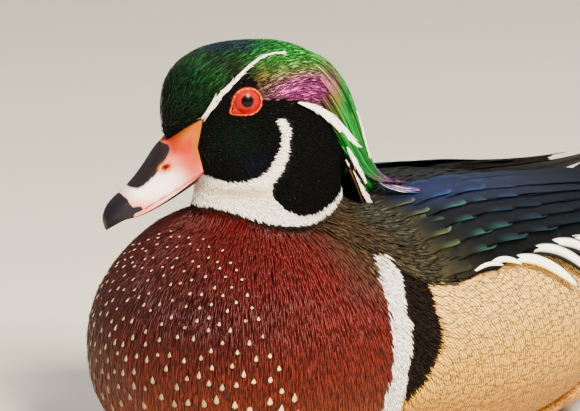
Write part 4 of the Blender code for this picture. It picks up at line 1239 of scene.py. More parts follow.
def tail():
    vanes = [(4, 102, 15.5, 3.3, 0, 0, 2.5)]
    for pair in range(1, 8):
        for way in (1, -1):
            vanes.append((4, 102 - 2.8 * pair, 15, 3.3 - 0.95 * pair, way * TAIL_SPREAD * pair,
                          0, 2.5))
    for number in range(-4, 5):
        turn, out = COVERT_SPREAD * number, abs(number)
        vanes += [(start, length - 3 * out, width, height - drop * out, turn, lift, droop)
                  for start, length, width, height, drop, lift, droop in COVERTS]

    def tint(points, feather, local):
        across = np.abs(local[:, 0] - 0.5) * 2
        c = plain("#130B07", len(points))
        c = mix(c, "#2C1A0E", 0.7 * step(0.4, 1.0, across))
        c = mix(c, "#0A0808", step(0.35, 0.0, local[:, 1]))
        return c * (1 + 0.2 * np.sin(feather * 1.9))[:, None]
    thing = make_tract("tail_vanes", tail_sweep(vanes, TAIL_SHAPE), patch_grid(len(vanes), 0.5),
                       TAIL_SHAPE, tint, TAIL_SATIN)
    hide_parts("tail")
    return thing


TAIL_SATIN = feather_material("tail_feather", 0.5, 0.0, 40, 0.35, 0.12)
print("tail", len(tail().data.polygons), "triangles")

# %% [markdown]
# The crest is a mane of long, narrow feathers that starts on the crown and hangs behind the
# nape. They follow the mane's surface, which is read at a share from crown to tip and a turn
# from the nape's middle line to the side. White feathers of the same kind make its stripes.

# %% Crest
CREST_SHAPE = {"section": STRAND, "stations": 8, "thick": 0.2, "rise": (0, 0),
               "outline": (0.6, 0.9, 1.0, 1.0, 0.85, 0.6, 0.2)}
FINE_MANE = np.array([smooth_row(MANE, p) for p in np.linspace(0, len(MANE) - 1, 200)])


def mane_point(share, turn, depth):
    place = np.linspace(0, 1, len(FINE_MANE))
    up, rear, half, middle = (np.interp(share, place, FINE_MANE[:, i]) for i in range(4))
    reach = middle - rear - depth
    return from_head(np.stack((middle - reach * np.cos(turn), (half - depth) * np.sin(turn), up),
                              -1))


def crest_sweep(start, end, turn, depth, width, shape):
    along, outline, _ = station_shapes(shape)
    share = start[:, None] + (end - start)[:, None] * along
    sunk = 1.6 * np.clip(1 - 5 * along, 0, 1)
    bend = turn[:, None] * (1 - 0.18 * along)
    middle = mane_point(share, bend, depth[:, None] + sunk)
    around = normalised(mane_point(share, bend + 0.05, depth[:, None])
                        - mane_point(share, bend - 0.05, depth[:, None]))
    way = normalised(np.gradient(middle, axis=1))
    up = normalised(np.cross(way, around))
    up *= np.sign((up * (middle - from_head((-20, 0, -20)))).sum(-1, keepdims=True))
    side = np.cross(up, way)
    halves = width[:, None] / 2 * outline[None]
    return sweep(middle, side, up, halves, shape["section"], shape["thick"])


def crest_colours(points):
    head = to_head(points)
    f, left, up = head[:, 0], np.abs(head[:, 1]), head[:, 2]
    c = crown_colours(f, up)
    c = mix(c, "#127A28", step(-30, -40, f) * step(2, -6, up))
    c = mix(c, "#12502A", step(-14, -34, up) * 0.5)
    rear = step(6.5, 3.0, left) * step(0, -12, up)
    c = mix(c, "#5A3E8A", rear * 0.85)
    return mix(c, "#7A3A6A", step(-30, -37, up) * 0.7)


def crest_locks(count):
    turn = np.radians(RNG.uniform(-86, 86, count))
    side = np.abs(np.sin(turn))
    start = np.clip(RNG.uniform(-0.05, 0.55, count) + 0.22 * side ** 3, 0, 0.7)
    end = np.clip(start + RNG.uniform(0.35, 0.6, count), 0.3, 1.0 - 0.12 * side ** 2)
    depth = RNG.uniform(0.0, 1.6, count)
    width = RNG.uniform(1.0, 1.7, count)
    swept = crest_sweep(start, end, turn, depth, width, CREST_SHAPE)

    def tint(points, feather, local):
        shade = 0.95 + 0.6 * np.sin(feather * 3.7)
        return np.clip(crest_colours(points) * shade[:, None], 0, 1)
    uv = np.stack((0.5 + turn / 4, 0.05 + 0.9 * start), 1)
    return make_tract("crest_locks", swept, uv, CREST_SHAPE, tint, CROWN_SATIN)


def guide_sweep(front, rear, place, start, end, sunk, width, shape):
    """Strands between two guide lines of the head's frame, each at its place between them."""
    along, outline, _ = station_shapes(shape)
    share = start[:, None] + (end - start)[:, None] * along
    count = len(place)
    a = along_path(front, share.ravel()).reshape(count, -1, 3)
    b = along_path(rear, share.ravel()).reshape(count, -1, 3)
    middle = a + (b - a) * place[:, None, None]
    middle[..., 1] -= sunk[:, None] * (1 - 0.5 * share)
    across = normalised(b - a)
    way = normalised(np.gradient(middle, axis=1))
    up = normalised(np.cross(across, way))
    up *= np.where((up[..., 1:2]) < 0, -1, 1)
    side = np.cross(up, way)
    halves = width[:, None] / 2 * outline[None]
    return head_sweeps(middle, side, up, halves, shape["thick"])

def head_sweeps(middle, side, up, halves, thick):
    """Strands swept in the head's frame, and the same ones turned to its right side."""
    left = sweep(from_head(middle), head_way(side), head_way(up), halves, STRAND, thick)
    right = sweep(from_head(middle * FLIP), -head_way(side * FLIP), head_way(up * FLIP), halves,
                  STRAND, thick)
    return left, right


def along_path(path, share):
    """Points of a smooth path at shares of its length of stations."""
    path = np.array(path, float)
    last = len(path) - 1
    place = np.clip(share, 0, 1.05) * last
    index = np.clip(place.astype(int), 0, last - 1)
    return smooth_between(path[np.maximum(index - 1, 0)], path[index], path[index + 1],
                          path[np.minimum(index + 2, last)], (place - index)[:, None])


# Edges of the hanging part of the crest, in the head's frame
CURTAIN_FRONT = ((-35, 14.0, -12), (-40.2, 12.8, -22), (-45.2, 10.6, -32), (-50.2, 7.2, -41.5))
CURTAIN_REAR = ((-43, 5.5, -6), (-48.2, 5.2, -18), (-52.6, 4.0, -28), (-58.5, 2.0, -36.5))


def crest_curtain(name, count, places, starts, ends, colours, material, widths=(0.8, 1.4)):
    place = RNG.uniform(*places, count)
    start = RNG.uniform(*starts, count)
    end = RNG.uniform(*ends, count) * (1 - 0.04 * place)
    left, right = guide_sweep(CURTAIN_FRONT, CURTAIN_REAR, place, start, end,
                              RNG.uniform(-0.4, 3.2, count), RNG.uniform(*widths, count),
                              CREST_SHAPE)

    def tint(points, feather, local):
        shade = 0.95 + 0.55 * np.sin(feather * 3.7)
        return np.clip(colours(place[feather], local[:, 1]) * shade[:, None], 0, 1)
    tracts = []
    for side, swept in ((1, left), (-1, right)):
        uv = np.stack((0.5 + 0.4 * side * (1 - place), 0.3 + 0.6 * start), 1)
        tracts.append(make_tract(name, swept, uv, CREST_SHAPE, tint, material))
    return tracts


# The crest's last hairs lie on the back and run on over it
TRAIN_LEFT = ((-49, 8.0, -28), (-55, 7.0, -36.0), (-63, 6.0, -39.6), (-74, 4.5, -41.2))
TRAIN_RIGHT = ((-50, 1.0, -26), (-57, 0.5, -34.5), (-66, 0.0, -38.6), (-77, -1.0, -40.6))


def crest_train(count):
    place, start = RNG.random(count), RNG.uniform(-0.05, 0.4, count)
    left, _ = guide_sweep(TRAIN_LEFT, TRAIN_RIGHT, place, start, start + 0.55,
                          RNG.uniform(-0.3, 0.8, count), RNG.uniform(0.35, 0.6, count), CREST_SHAPE)

    def tint(points, feather, local):
        c = plain("#4A2A6A", len(points))
        c = mix(c, "#1E4A6A", step(0.3, 0.0, place)[feather])
        c = mix(c, "#E8DCEC", (np.sin(feather * 2.7) > 0.86) * 0.8)
        return c * (0.9 + 0.5 * np.sin(feather * 3.7))[:, None]
    return [make_tract("crest_train", left, np.stack((0.4 + 0.2 * place, start), 1), CREST_SHAPE,
                       tint, CROWN_SATIN)]


def curtain_colours(place, along):
    c = plain("#0E5A20", len(place))
    c = mix(c, "#149A34", glow(place, along, (0.35, 0.4), (0.25, 0.4)))
    c = mix(c, "#0A3A1A", step(0.75, 1.0, along) * 0.6)
    c = mix(c, "#2A5A6A", step(0.6, 0.85, place) * 0.7)
    return mix(c, "#6A3A7A", step(0.8, 1.0, place))


def under_hair(place, along):
    c = plain("#0C0806", len(place))
    return mix(c, "#6A3A16", (np.sin(place * 900) > 0.97) * 0.9)


crest = [crest_locks(1500)]
crest += crest_curtain("crest_curtain", 420, (0.06, 1.0), (-0.05, 0.4), (0.7, 1.0),
                       curtain_colours, CROWN_SATIN)
crest += crest_curtain("under_hair", 260, (-0.38, 0.1), (0.35, 0.7), (0.8, 1.03), under_hair,
                       MASK_VELVET, (0.35, 0.7))
crest += crest_train(240)
select_only(crest)
bpy.ops.object.join()
bpy.context.object.name = "crest_locks"
print("crest", len(bpy.context.object.data.polygons), "triangles")

# %% [markdown]
# White lines cross the head and crest: the brow from the bill up over the eye, three stripes
# that run from the cheek into the crest, and a thin one down its rear edge. Each is a brush of
# fine white feathers whose roots follow a path, and whose tips break its outer end.

# %% White lines
# Paths in the head's frame: forward, left and up
BROW = ((16.6, 10.0, -7.0), (13.9, 12.4, -2.1), (11.9, 13.6, 1.4), (9.8, 14.4, 4.0),
        (7.6, 14.8, 5.9), (4.6, 14.8, 8.8), (1.3, 14.2, 11.6), (-3.0, 13.2, 14.5),
        (-6.5, 12.0, 16.1), (-11.5, 11.0, 16.8), (-16.1, 10.0, 16.7))
UPPER_STRIPE = ((-18.0, 17.4, -0.6), (-23.1, 16.8, -2.2), (-28.3, 15.6, -5.0),
                (-33.5, 14.2, -9.0), (-37.8, 12.8, -13.4), (-42.0, 11.4, -17.8),
                (-45.0, 9.4, -20.2))
LOWER_STRIPE = ((-38.6, 12.2, -18.6), (-41.4, 11.6, -23.4), (-44.4, 10.4, -28.2),
                (-47.4, 9.0, -33.2))
LOWEST_STRIPE = ((-38.4, 12.0, -23.4), (-42.0, 10.8, -30.0), (-46.6, 8.8, -36.8),
                 (-50.6, 6.4, -41.8))
REAR_LINE = ((-44.2, 7.6, -6.5), (-46.4, 7.3, -13.0), (-48.2, 7.0, -19.0), (-50.4, 6.4, -25.0))


def path_length(path):
    return np.linalg.norm(np.diff(np.array(path, float), axis=0), axis=1).sum()


def white_line(name, path, count, width, length, lift, strand):
    """A brush of white feathers along a path: its width is read from root to end."""
    shape = dict(FINE, stations=5, outline=(0.6, 1.0, 1.0, 0.85, 0.55, 0.2), thick=0.14)
    whole = path_length(path)
    share = RNG.random(count) * (1 - 0.5 * length / whole)
    place = RNG.random(count) - 0.5
    ends = share + length * RNG.uniform(0.75, 1.2, count) / whole
    ends = np.minimum(ends, 1.04 - 0.1 * np.abs(place))
    steps = np.linspace(0, 1, shape["stations"] + 1)
    places = share[:, None] + (ends - share)[:, None] * steps
    middle = along_path(path, places.ravel()).reshape(count, -1, 3)
    ahead = along_path(path, np.minimum(places.ravel() + 0.02, 1.05)).reshape(count, -1, 3)
    before = along_path(path, places.ravel() - 0.02).reshape(count, -1, 3)
    way = normalised(ahead - before)
    out = normalised(np.stack((middle[..., 0] * 0.15 + 1.5, middle[..., 1],
                               middle[..., 2] * 0.35), -1))
    side = normalised(np.cross(out, way))
    span = np.interp(places, np.linspace(0, 1, len(width)), width)
    height = lift + 0.35 * RNG.random(count)
    stray = RNG.normal(0, 2.0 * strand, count)[:, None] * steps ** 2
    middle = (middle + side * (place[:, None] * span + stray)[..., None]
              + out * height[:, None, None])
    halves = np.full((count, shape["stations"] + 1), strand) * np.interp(
        steps, np.linspace(0, 1, 6), shape["outline"])
    tracts = []
    for row, swept in zip((0.7, 0.3), head_sweeps(middle, side, out, halves, shape["thick"])):
        uv = np.stack((np.clip(share, 0, 1), np.full(count, row)), 1)
        tracts.append(make_tract(name, swept, uv, shape, white_tint, WHITE_DOWN))
    return tracts



def white_tint(points, feather, local):
    shade = 0.94 + 0.06 * np.sin(feather * 4.1)
    return plain("#FFFBF2", len(points)) * shade[:, None]


lines = []
for path, count, width, length, lift, strand in (
        (BROW, 260, (1.3, 2.1, 2.0, 1.5, 1.1, 0.9, 0.6, 0.4, 0.2), 3.2, 0.75, 0.17),
        (UPPER_STRIPE, 460, (0.3, 1.2, 2.2, 2.8, 2.6, 1.6, 0.7), 6.0, 1.5, 0.22),
        (LOWER_STRIPE, 190, (0.3, 1.1, 1.3, 0.9, 0.1), 5.0, 1.9, 0.2),
        (LOWEST_STRIPE, 230, (0.2, 0.9, 1.3, 1.4, 0.8), 5.5, 1.9, 0.22),
        (REAR_LINE, 90, (0.1, 0.4, 0.45, 0.3, 0.1), 6.0, 1.0, 0.15)):
    lines += white_line("white_lines", path, count, width, length, lift, strand)
select_only(lines)
bpy.ops.object.join()
bpy.context.object.name = "white_lines"
print("white lines", len(bpy.context.object.data.polygons), "triangles")

# %% [markdown]
# The bill is horn over bone. Each station is a curve from the culmen, or further back from the
# feathers' edge, over the side to the cutting edge, and the rings run on smooth curves between
# stations. The painted zones are outlines seen from the side, as on the head.

# %% Bill
# Top, widest and lower edge of each station, in the head's frame: forward, left, up
BILL = np.array((
    ((16.4, 10.4, -6.4), (18.6, 11.0, -17), (16.3, 11.2, -26.5)),
    ((20.5, 8.6, -9.3), (22, 10.8, -18.5), (19.5, 10.9, -29.3)),
    ((24, 6.0, -12.3), (26, 10.2, -21), (23.5, 10.4, -32.2)),
    ((27.6, 2.6, -15.4), (29.5, 9.6, -24.4), (27.2, 9.9, -34.8)),
    ((30.4, 0, -17.3), (32.6, 9.0, -27.4), (31, 9.4, -37.2)),
    ((35, 0, -23.8), (36.2, 8.3, -31.4), (35.2, 8.8, -39.7)),
    ((39.3, 0, -29.2), (39.8, 7.9, -35), (39.2, 8.4, -41.6)),
    ((43.3, 0, -33.2), (43.4, 7.6, -37.8), (43, 8.0, -42.8)),
    ((47.1, 0, -36.4), (46.9, 7.1, -40), (46.2, 7.1, -43.9)),
    ((50.2, 0, -39.7), (49.6, 5.7, -42.4), (48.7, 5.4, -45.6)),
    ((51.9, 0, -43.8), (51.4, 3.4, -45.2), (50.6, 2.9, -47.4)),
    ((51.6, 0, -47.6), (51.3, 0.6, -48.1), (50.9, 0.3, -48.6))))
BILL_ROWS, BILL_SIDE = 170, 40
LOWER_BILL_END = 8.2  # the station at which the lower half of the bill ends


def bill_half(place):
    """One side of a ring of the upper bill, from its top to its cutting edge."""
    top, wide, edge = smooth_row(BILL, place)
    turn = np.linspace(0, math.pi / 2, BILL_SIDE // 2)[:, None]
    upper = top + (wide - top) * (1 - np.cos(turn) ** 1.1)
    upper[:, 1] = (top[1] + (wide[1] - top[1]) * np.sin(turn) ** 0.8).ravel()
    share = np.linspace(0, 1, BILL_SIDE - BILL_SIDE // 2 + 1)[1:, None]
    lower = wide + (edge - wide) * share
    return np.concatenate((upper, lower))


def both_sides(half):
    other = half[::-1] * FLIP
    return np.concatenate((half, other))


def upper_bill():
    rings = [from_head(both_sides(bill_half(p))) for p in np.linspace(0, len(BILL) - 1, BILL_ROWS)]
    return loft("bill_upper_horn", rings)


def lower_bill():
    rings = []
    for place in np.linspace(0.3, LOWER_BILL_END, 40):
        _, _, edge = smooth_row(BILL, place)
        turn = np.linspace(0, math.pi, 19)[:, None]
        depth = (3.6 - 0.3 * place) * np.minimum(1, 0.4 + place)
        half = (edge[1] - 0.5) * np.sign(np.cos(turn)) * np.abs(np.cos(turn)) ** 0.7
        rings.append(from_head(np.concatenate(
            (edge[0] - 0.3 * depth * np.sin(turn), half, edge[2] + 0.5 - depth
             * np.sin(turn) ** 0.8), 1)))
    return loft("bill_lower_horn", rings)


# Zones of the upper bill, seen from the side: forward and up
FEATHER_EDGE = ((30.4, -17.6), (27.5, -15.6), (24, -12.3), (20.5, -9.3), (16.4, -6.4))
REAR_EDGE = ((16.4, -6.4), (18.2, -10.5), (18.8, -17), (18.0, -22), (16.3, -26.5))
CULMEN_PATCH = ((31, -16), (28.2, -16.4), (28.3, -17.8), (29.2, -19.6), (30.5, -21.6),
                (32.4, -24.5), (34.3, -27.1), (36.5, -29.3), (38.7, -31.2), (40.6, -32.2),
                (42.6, -32.2), (48, -32), (40, -20))
NAIL_PATCH = ((47.6, -36), (45.6, -34.8), (44.6, -35.8), (43.9, -37.6), (42.9, -38.8),
              (39.9, -38.5), (38.9, -39.8), (40.7, -40.8), (42.5, -41.6), (43.5, -60), (60, -60),
              (60, -34))
MOUTH_LINE = ((16.3, -26.4), (19.2, -28.2), (22.6, -30.4), (26.7, -32.9), (30.9, -35.3),
              (35, -37.7), (38.5, -39.6))
NOSTRIL = np.array((30.4, 9.2, -24.3))
NOSTRIL_AHEAD = normalised(np.array((0.84, 0.0, -0.54)))


def line_distance(line, u, v):
    """How far points are from a broken line."""
    best = np.full(len(u), 1e9)
    for (u1, v1), (u2, v2) in zip(line[:-1], line[1:]):
        du, dv = u2 - u1, v2 - v1
        t = np.clip(((u - u1) * du + (v - v1) * dv) / (du * du + dv * dv), 0, 1)
        best = np.minimum(best, np.hypot(u - u1 - t * du, v - v1 - t * dv))
    return best


def nostril_reach(head):
    """1 on the rim of a nostril, and less inside it."""
    away = head[:, (0, 2)] - NOSTRIL[[0, 2]]
    ahead = away @ NOSTRIL_AHEAD[[0, 2]]
    across = away @ np.array((-NOSTRIL_AHEAD[2], NOSTRIL_AHEAD[0]))
    return np.hypot(ahead / 2.1, across / 1.25)


def sink_nostrils(thing):
    points = mesh_points(thing.data)
    head = to_head(points)
    reach = nostril_reach(head)
    rim = 0.22 * np.exp(-((reach - 1.25) / 0.22) ** 2)
    head[:, 1] -= np.sign(head[:, 1]) * (1.1 * step(1.05, 0.35, reach) - rim)
    thing.data.vertices.foreach_set("co", (from_head(head) * MM).astype(np.float32).ravel())


def bill_tint(points):
    head = to_head(points)
    f, left, up = head[:, 0], np.abs(head[:, 1]), head[:, 2]
    grain = 0.5 + 0.5 * np.sin(f * 5.1 + 3 * np.sin(up * 3.7) + left * 2.3)
    c = plain("#D87060", len(points))
    c = mix(c, "#A81410", 0.8 * glow(f, up, (20.5, -24), (5.5, 7)))
    c = mix(c, "#A81000", 1.5 * glow(f, up, (22.5, -15.5), (5.5, 5.5)))
    c = mix(c, "#FFF4F0", 1.5 * glow(f, up, (36.5, -32), (8.5, 4.6)))
    c = mix(c, "#FFF4F0", 0.8 * glow(f, up, (29.5, -28.5), (5, 3.2)))
    edge = line_distance(FEATHER_EDGE, f, up)
    rear = line_distance(REAR_EDGE, f, up)
    orange = step(5.4, 1.6, edge) * step(31, 26, f)
    c = mix(c, "#922200", orange)
    c = mix(c, "#924E00", step(3.6, 1.4, edge) * step(28, 20, f))
    c = mix(c, "#924A00", step(2.6, 1.4, rear) * step(-25, -19, up))
    c = mix(c, "#9A0A14", step(0.42, 0.2, line_distance(MOUTH_LINE, f, up)) * 0.9)
    culmen = line_distance(CULMEN_PATCH[2:-2], f, up)
    c = mix(c, "#6A4A50", step(0.9, 0.0, culmen) * 0.5)
    black = inside(CULMEN_PATCH, f, up)
    c[black] = linear("#1D1618")
    c[black] = mix(c, "#2C2428", grain * 0.35)[black]
    nail = inside(NAIL_PATCH, f, up)
    c[nail] = linear("#19171D")
    c[nail] = mix(c, "#030304", step(-42, -47, up))[nail]
    reach = nostril_reach(head)
    side = left > 5
    c = mix(c, "#C87808", np.exp(-((reach - 1.2) / 0.3) ** 2) * side)
    # Painted shade: the nostril darkens to near black inside, as the shade in its hole does
    c = mix(c, "#8A1404", step(1.0, 0.8, reach) * side)
    return mix(c, "#2A0402", step(0.7, 0.3, reach) * side)


def lower_tint(points):
    ahead = to_head(points)[:, 0]
    return mix(plain("#1C1412", len(points)), "#8A3A34", step(20, 15, ahead) * 0.6)


def finish_bill(thing, tint, material, *nodes):
    select_only([thing])
    bpy.ops.object.mode_set(mode="EDIT")
    bpy.ops.mesh.select_all(action="SELECT")
    bpy.ops.mesh.remove_doubles(threshold=0.00002)
    bpy.ops.mesh.normals_make_consistent(inside=False)
    bpy.ops.object.mode_set(mode="OBJECT")
    give_colours(thing.data, tint(mesh_points(thing.data)))
    bpy.ops.object.shade_smooth()
    thing.data.materials.append(material)
    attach(thing, "root")
    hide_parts(*nodes)
    return len(thing.data.polygons)


def horn_material(name, roughness, coat, scale, height):
    """Horn: waxy and glossy, with faint growth lines and pits."""
    material, tree, shader = new_material(name)
    tint = add_node(tree, "ShaderNodeAttribute", {"attribute_name": "tint"})
    place = add_node(tree, "ShaderNodeTexCoord")
    grain = add_node(tree, "ShaderNodeTexNoise",
                     inputs={"Vector": place.outputs["Object"], "Scale": scale, "Detail": 4.0,
                             "Distortion": 0.6})
    shade = add_node(tree, "ShaderNodeMapRange",
                     inputs={"Value": grain.outputs["Fac"], "From Min": 0.3, "From Max": 0.7,
                             "To Min": 0.9, "To Max": 1.06})
    colour = add_node(tree, "ShaderNodeVectorMath", {"operation": "SCALE"},
                      {"Vector": tint.outputs["Color"], "Scale": shade.outputs["Result"]})
    bump = add_node(tree, "ShaderNodeBump", inputs={"Height": grain.outputs["Fac"],
                                                    "Strength": 0.3, "Distance": height})
    tree.links.new(colour.outputs["Vector"], shader.inputs["Base Color"])
    tree.links.new(bump.outputs["Normal"], shader.inputs["Normal"])
    shader.inputs["Roughness"].default_value = roughness
    shader.inputs["Coat Weight"].default_value = coat
    shader.inputs["Coat Roughness"].default_value = 0.15
    shader.inputs["IOR"].default_value = 1.45
    shader.inputs["Specular IOR Level"].default_value = 0.12
    return material


BILL_HORN = horn_material("bill_horn", 0.42, 0.05, 260, 0.0002)
upper = upper_bill()
sink_nostrils(upper)
faces = finish_bill(upper, bill_tint, BILL_HORN, "bill_upper", "bill_nail")
faces += finish_bill(lower_bill(), lower_tint, BILL_HORN, "bill_lower")
print("bill", faces, "faces")

# %% [markdown]
# Each eye is a ball that sits in the head up to its lids: a black pupil, a bright red iris
# with fine fibres, and a wet clear surface that bulges over them. Round it the bare lids form
# a glossy, beaded ring, drawn out to a point low in front, and laid on the skin by rays.

# %% Eyes
PUPIL_RADIUS = 2.2
LID_WIDTH, LID_HEIGHT = 1.15, 0.75
LID_REACH = 4.9       # how far from the eye's axis the lids' flesh meets the ball
EYE_TURNS = 72


def eye_point(ahead, up, depth):
    """Points round the left eye's axis, in the head's frame."""
    return (EYE_PLACE + np.asarray(ahead)[..., None] * EYE_AHEAD
            + np.asarray(up)[..., None] * EYE_UP + np.asarray(depth)[..., None] * EYE_OUT)


def on_side(points, side):
    return from_head(points * np.array((1, side, 1)))


def ring_turns():
    return np.linspace(0, 2 * math.pi, EYE_TURNS, endpoint=False)


def eyeball(side):
    turns = ring_turns()
    rings = []
    for polar in np.concatenate((np.linspace(0.02, 1.2, 60), np.linspace(1.3, 3.1, 16))):
        radius = EYE_RADIUS + 0.35 * max(0.0, 1 - (polar / 0.8) ** 2)
        flat = radius * math.sin(polar)
        rings.append(on_side(eye_point(flat * np.cos(turns), flat * np.sin(turns),
                                       np.full(EYE_TURNS, radius * math.cos(polar))), side))
    return loft("eye_ball_left" if side > 0 else "eye_ball_right", rings)


def eye_tint(points):
    ahead, up, _ = eye_view(points)
    flat, turn = np.hypot(ahead, up), np.arctan2(up, ahead)
    fibre = 0.5 + 0.5 * np.sin(turn * 47 + 4 * np.sin(turn * 11))
    c = plain("#880002", len(points))
    c = mix(c, "#A80E02", fibre * 0.4 * step(PUPIL_RADIUS, 3.4, flat))
    c = mix(c, "#3A0002", step(2.5, PUPIL_RADIUS, flat) * 0.7)
    return mix(c, "#010102", step(PUPIL_RADIUS + 0.12, PUPIL_RADIUS - 0.05, flat))


def lid_outline(turns):
    """The lids' outline at turns round the eye, smoothed between its points."""
    angle = np.arctan2(LID_OUTLINE[:, 1], LID_OUTLINE[:, 0])
    reach = np.hypot(LID_OUTLINE[:, 0], LID_OUTLINE[:, 1])
    order = np.argsort(angle)
    return np.interp(turns, angle[order], reach[order], period=2 * math.pi)


def skin_depth(ahead, up):
    """How far out along the eye's axis the skin lies."""
    way = head_way(EYE_OUT)
    out = []
    for a, u in zip(ahead, up):
        start = from_head(eye_point(a, u, 20.0))
        spot = SKIN_TREE.ray_cast(start.tolist(), (-way).tolist())[0]
        out.append(20.0 - np.linalg.norm(start - np.array(spot)))
    return np.array(out)


def bead_wave(turns):
    """Uneven beads along the lids' rim."""
    return np.sin(turns * 19 + 2 * np.sin(turns * 5))

def lids(side):
    """The raised rim round the eye, and in front the flesh between it and the ball."""
    turns = ring_turns()
    outer = lid_outline(turns)
    rim = outer - LID_WIDTH
    inner = np.minimum(rim - 0.25, LID_REACH)
    ball = np.sqrt(EYE_RADIUS ** 2 - inner ** 2)
    floor = skin_depth(outer * np.cos(turns), outer * np.sin(turns)) + 0.2
    beads = 1 + 0.26 * bead_wave(turns) + 0.14 * np.sin(turns * 31 + 1)

    def ring(reach, depth):
        return on_side(eye_point(reach * np.cos(turns), reach * np.sin(turns), depth), side)

    rings = []
    for share in (0, 0.4, 0.8):
        reach = inner + (rim - inner) * share
        rings.append(ring(reach, ball + (floor - ball) * (reach - inner) / (outer - inner)))
    for share in np.linspace(0, 1, 13):
        reach = rim + (outer - rim) * share
        depth = ball + (floor - ball) * (reach - inner) / (outer - inner)
        rings.append(ring(reach, depth + LID_HEIGHT * math.sin(math.pi * share) ** 0.7 * beads))
    for share in (1, 0.5, 0):
        reach = inner + (outer - inner) * share - 0.2
        rings.append(ring(reach, np.minimum(floor, ball) - 1.5))
    return tube("lids_left" if side > 0 else "lids_right", rings)


def tube(name, rings):
    """A closed ring-shaped skin: the last ring joins the first one."""
    thing = loft(name, rings + [rings[0]])
    bm = bmesh.new()
    bm.from_mesh(thing.data)
    poles = sorted(bm.verts, key=lambda v: -len(v.link_edges))[:2]
    bmesh.ops.delete(bm, geom=poles, context="VERTS")
    bmesh.ops.remove_doubles(bm, verts=bm.verts, dist=0.000002)
    bmesh.ops.recalc_face_normals(bm, faces=bm.faces)
    bm.to_mesh(thing.data)
    bm.free()
    return thing


def lid_tint(points):
    ahead, up, _ = eye_view(points)
    flat, turn = np.hypot(ahead, up), np.arctan2(up, ahead)
    share = (flat - lid_outline(turn)) / LID_WIDTH + 1
    beads = 0.5 + 0.5 * bead_wave(turn)
    c = plain("#880002", len(points))
    c = mix(c, "#4A0202", step(-0.1, 0.08, share) * 0.8)
    c = mix(c, "#A01600", step(0.15, 0.4, share))
    c = mix(c, "#D07808", step(0.2, 0.45, share) * step(0.9, 0.65, share) * beads ** 2)
    return mix(c, "#8A0602", step(0.75, 0.95, share))


def wet_material(name, roughness, coat):
    """A living wet surface: a clear, sharp coat over soft colour."""
    material = horn_material(name, roughness, coat, 500, 0.0001)
    shader = material.node_tree.nodes["Principled BSDF"]
    shader.inputs["Coat Roughness"].default_value = 0.03
    shader.inputs["Coat IOR"].default_value = 1.36
    shader.inputs["Specular IOR Level"].default_value = 0.1
    return material


EYE_WET = wet_material("wet_eye", 0.3, 0.14)
LID_SKIN = wet_material("bare_lid", 0.4, 0.2)
for side, name in ((1, "left"), (-1, "right")):
    faces = finish_bill(eyeball(side), eye_tint, EYE_WET, "eye_" + name)
    faces += finish_bill(lids(side), lid_tint, LID_SKIN, "lid_" + name)
    print("eye and lids", name, faces, "faces")

# %% [markdown]
# The breast carries many small cream marks, one at the end of each true feather. Each
# is a short flat tuft that widens from its root, laid over the chestnut coat, and they grow
# from pinheads under the collar to broad marks near the belly.

# %% Breast spots
SPOT = {"section": VANE, "stations": 5, "outline": (0.08, 0.4, 0.75, 1.0, 0.95, 0.5),
        "thick": 0.12, "rise": (1.35, 1.5, 1.6, 1.65, 1.7, 1.7), "spread": 0.05, "stray": 0.08}
# The line behind which no spot grows: height, and place along X
SPOT_LIMIT = ((15, 64), (30, 72), (42, 82), (54, 86), (66, 87), (77, 85), (91, 80), (105, 74))


def spot_size(z):
    """Length and width of a spot at a height: small under the collar, broad near the belly."""
    heights = (15, 30, 45, 66, 92)
    return (np.interp(z, heights, (4.4, 3.5, 2.5, 1.7, 0.95)),
            np.interp(z, heights, (2.9, 2.3, 1.6, 1.15, 0.8)))


def breast_spots():
    limit = np.interp(ROOTS[:, 2], [p[0] for p in SPOT_LIMIT], [p[1] for p in SPOT_LIMIT])
    chosen = (ROOT_REGION == REGION["breast"]) & (ROOTS[:, 0] > limit) & (ROOTS[:, 2] < 98)
    points = np.flatnonzero(chosen & (RNG.random(len(ROOTS)) > 0.3))
    gap = np.interp(ROOTS[points, 2], (15, 45, 92), (6.2, 4.7, 3.5))
    kept = points[thin_out(ROOTS[points], gap)]
    length, width = spot_size(ROOTS[kept, 2])
    length = length * (1 + 0.12 * RNG.normal(size=len(kept)))
    swept = lay_feathers(ROOTS[kept], ROOT_NORMALS[kept], ROOT_LIES[kept], length, width, SPOT)

    def tint(points, feather, local):
        c = plain("#EBCB98", len(points))
        c = mix(c, "#A8683A", step(0.3, 0.0, local[:, 1]) * 0.6)
        # Painted shade: the spots dim towards the front of the breast; they are also a little
        # dimmer low down
        dim = 1 - 0.45 * step(88, 108, points[:, 0]) - 0.2 * step(55, 25, points[:, 2])
        return c * (dim * (0.85 + 0.15 * np.sin(feather * 2.1)))[:, None]
    return make_tract("breast_spots", swept, ROOT_UV[kept], SPOT, tint, WHITE_DOWN)


print("spots", len(breast_spots().data.polygons), "triangles")

# %% [markdown]
# From under the wing's edge long plumes curve back and down over the flank. Each has a bright
# white band along its vane, with black beside it. They are swept like the wing's vanes, bowed,
# and tilted so that their lower halves dive into the coat.

# %% Flank plumes
PLUME_SHAPE = {"section": WIDE_VANE, "stations": 20, "thick": 0.25, "bow": 0.85, "tilt": 0.3,
               "outline": (0.3, 0.6, 0.85, 1.0, 1.0, 1.0, 0.9, 0.6, 0.25),
               "rise": (-2.4, 0.2, 1.0, 1.2, 1.2, 0.9)}
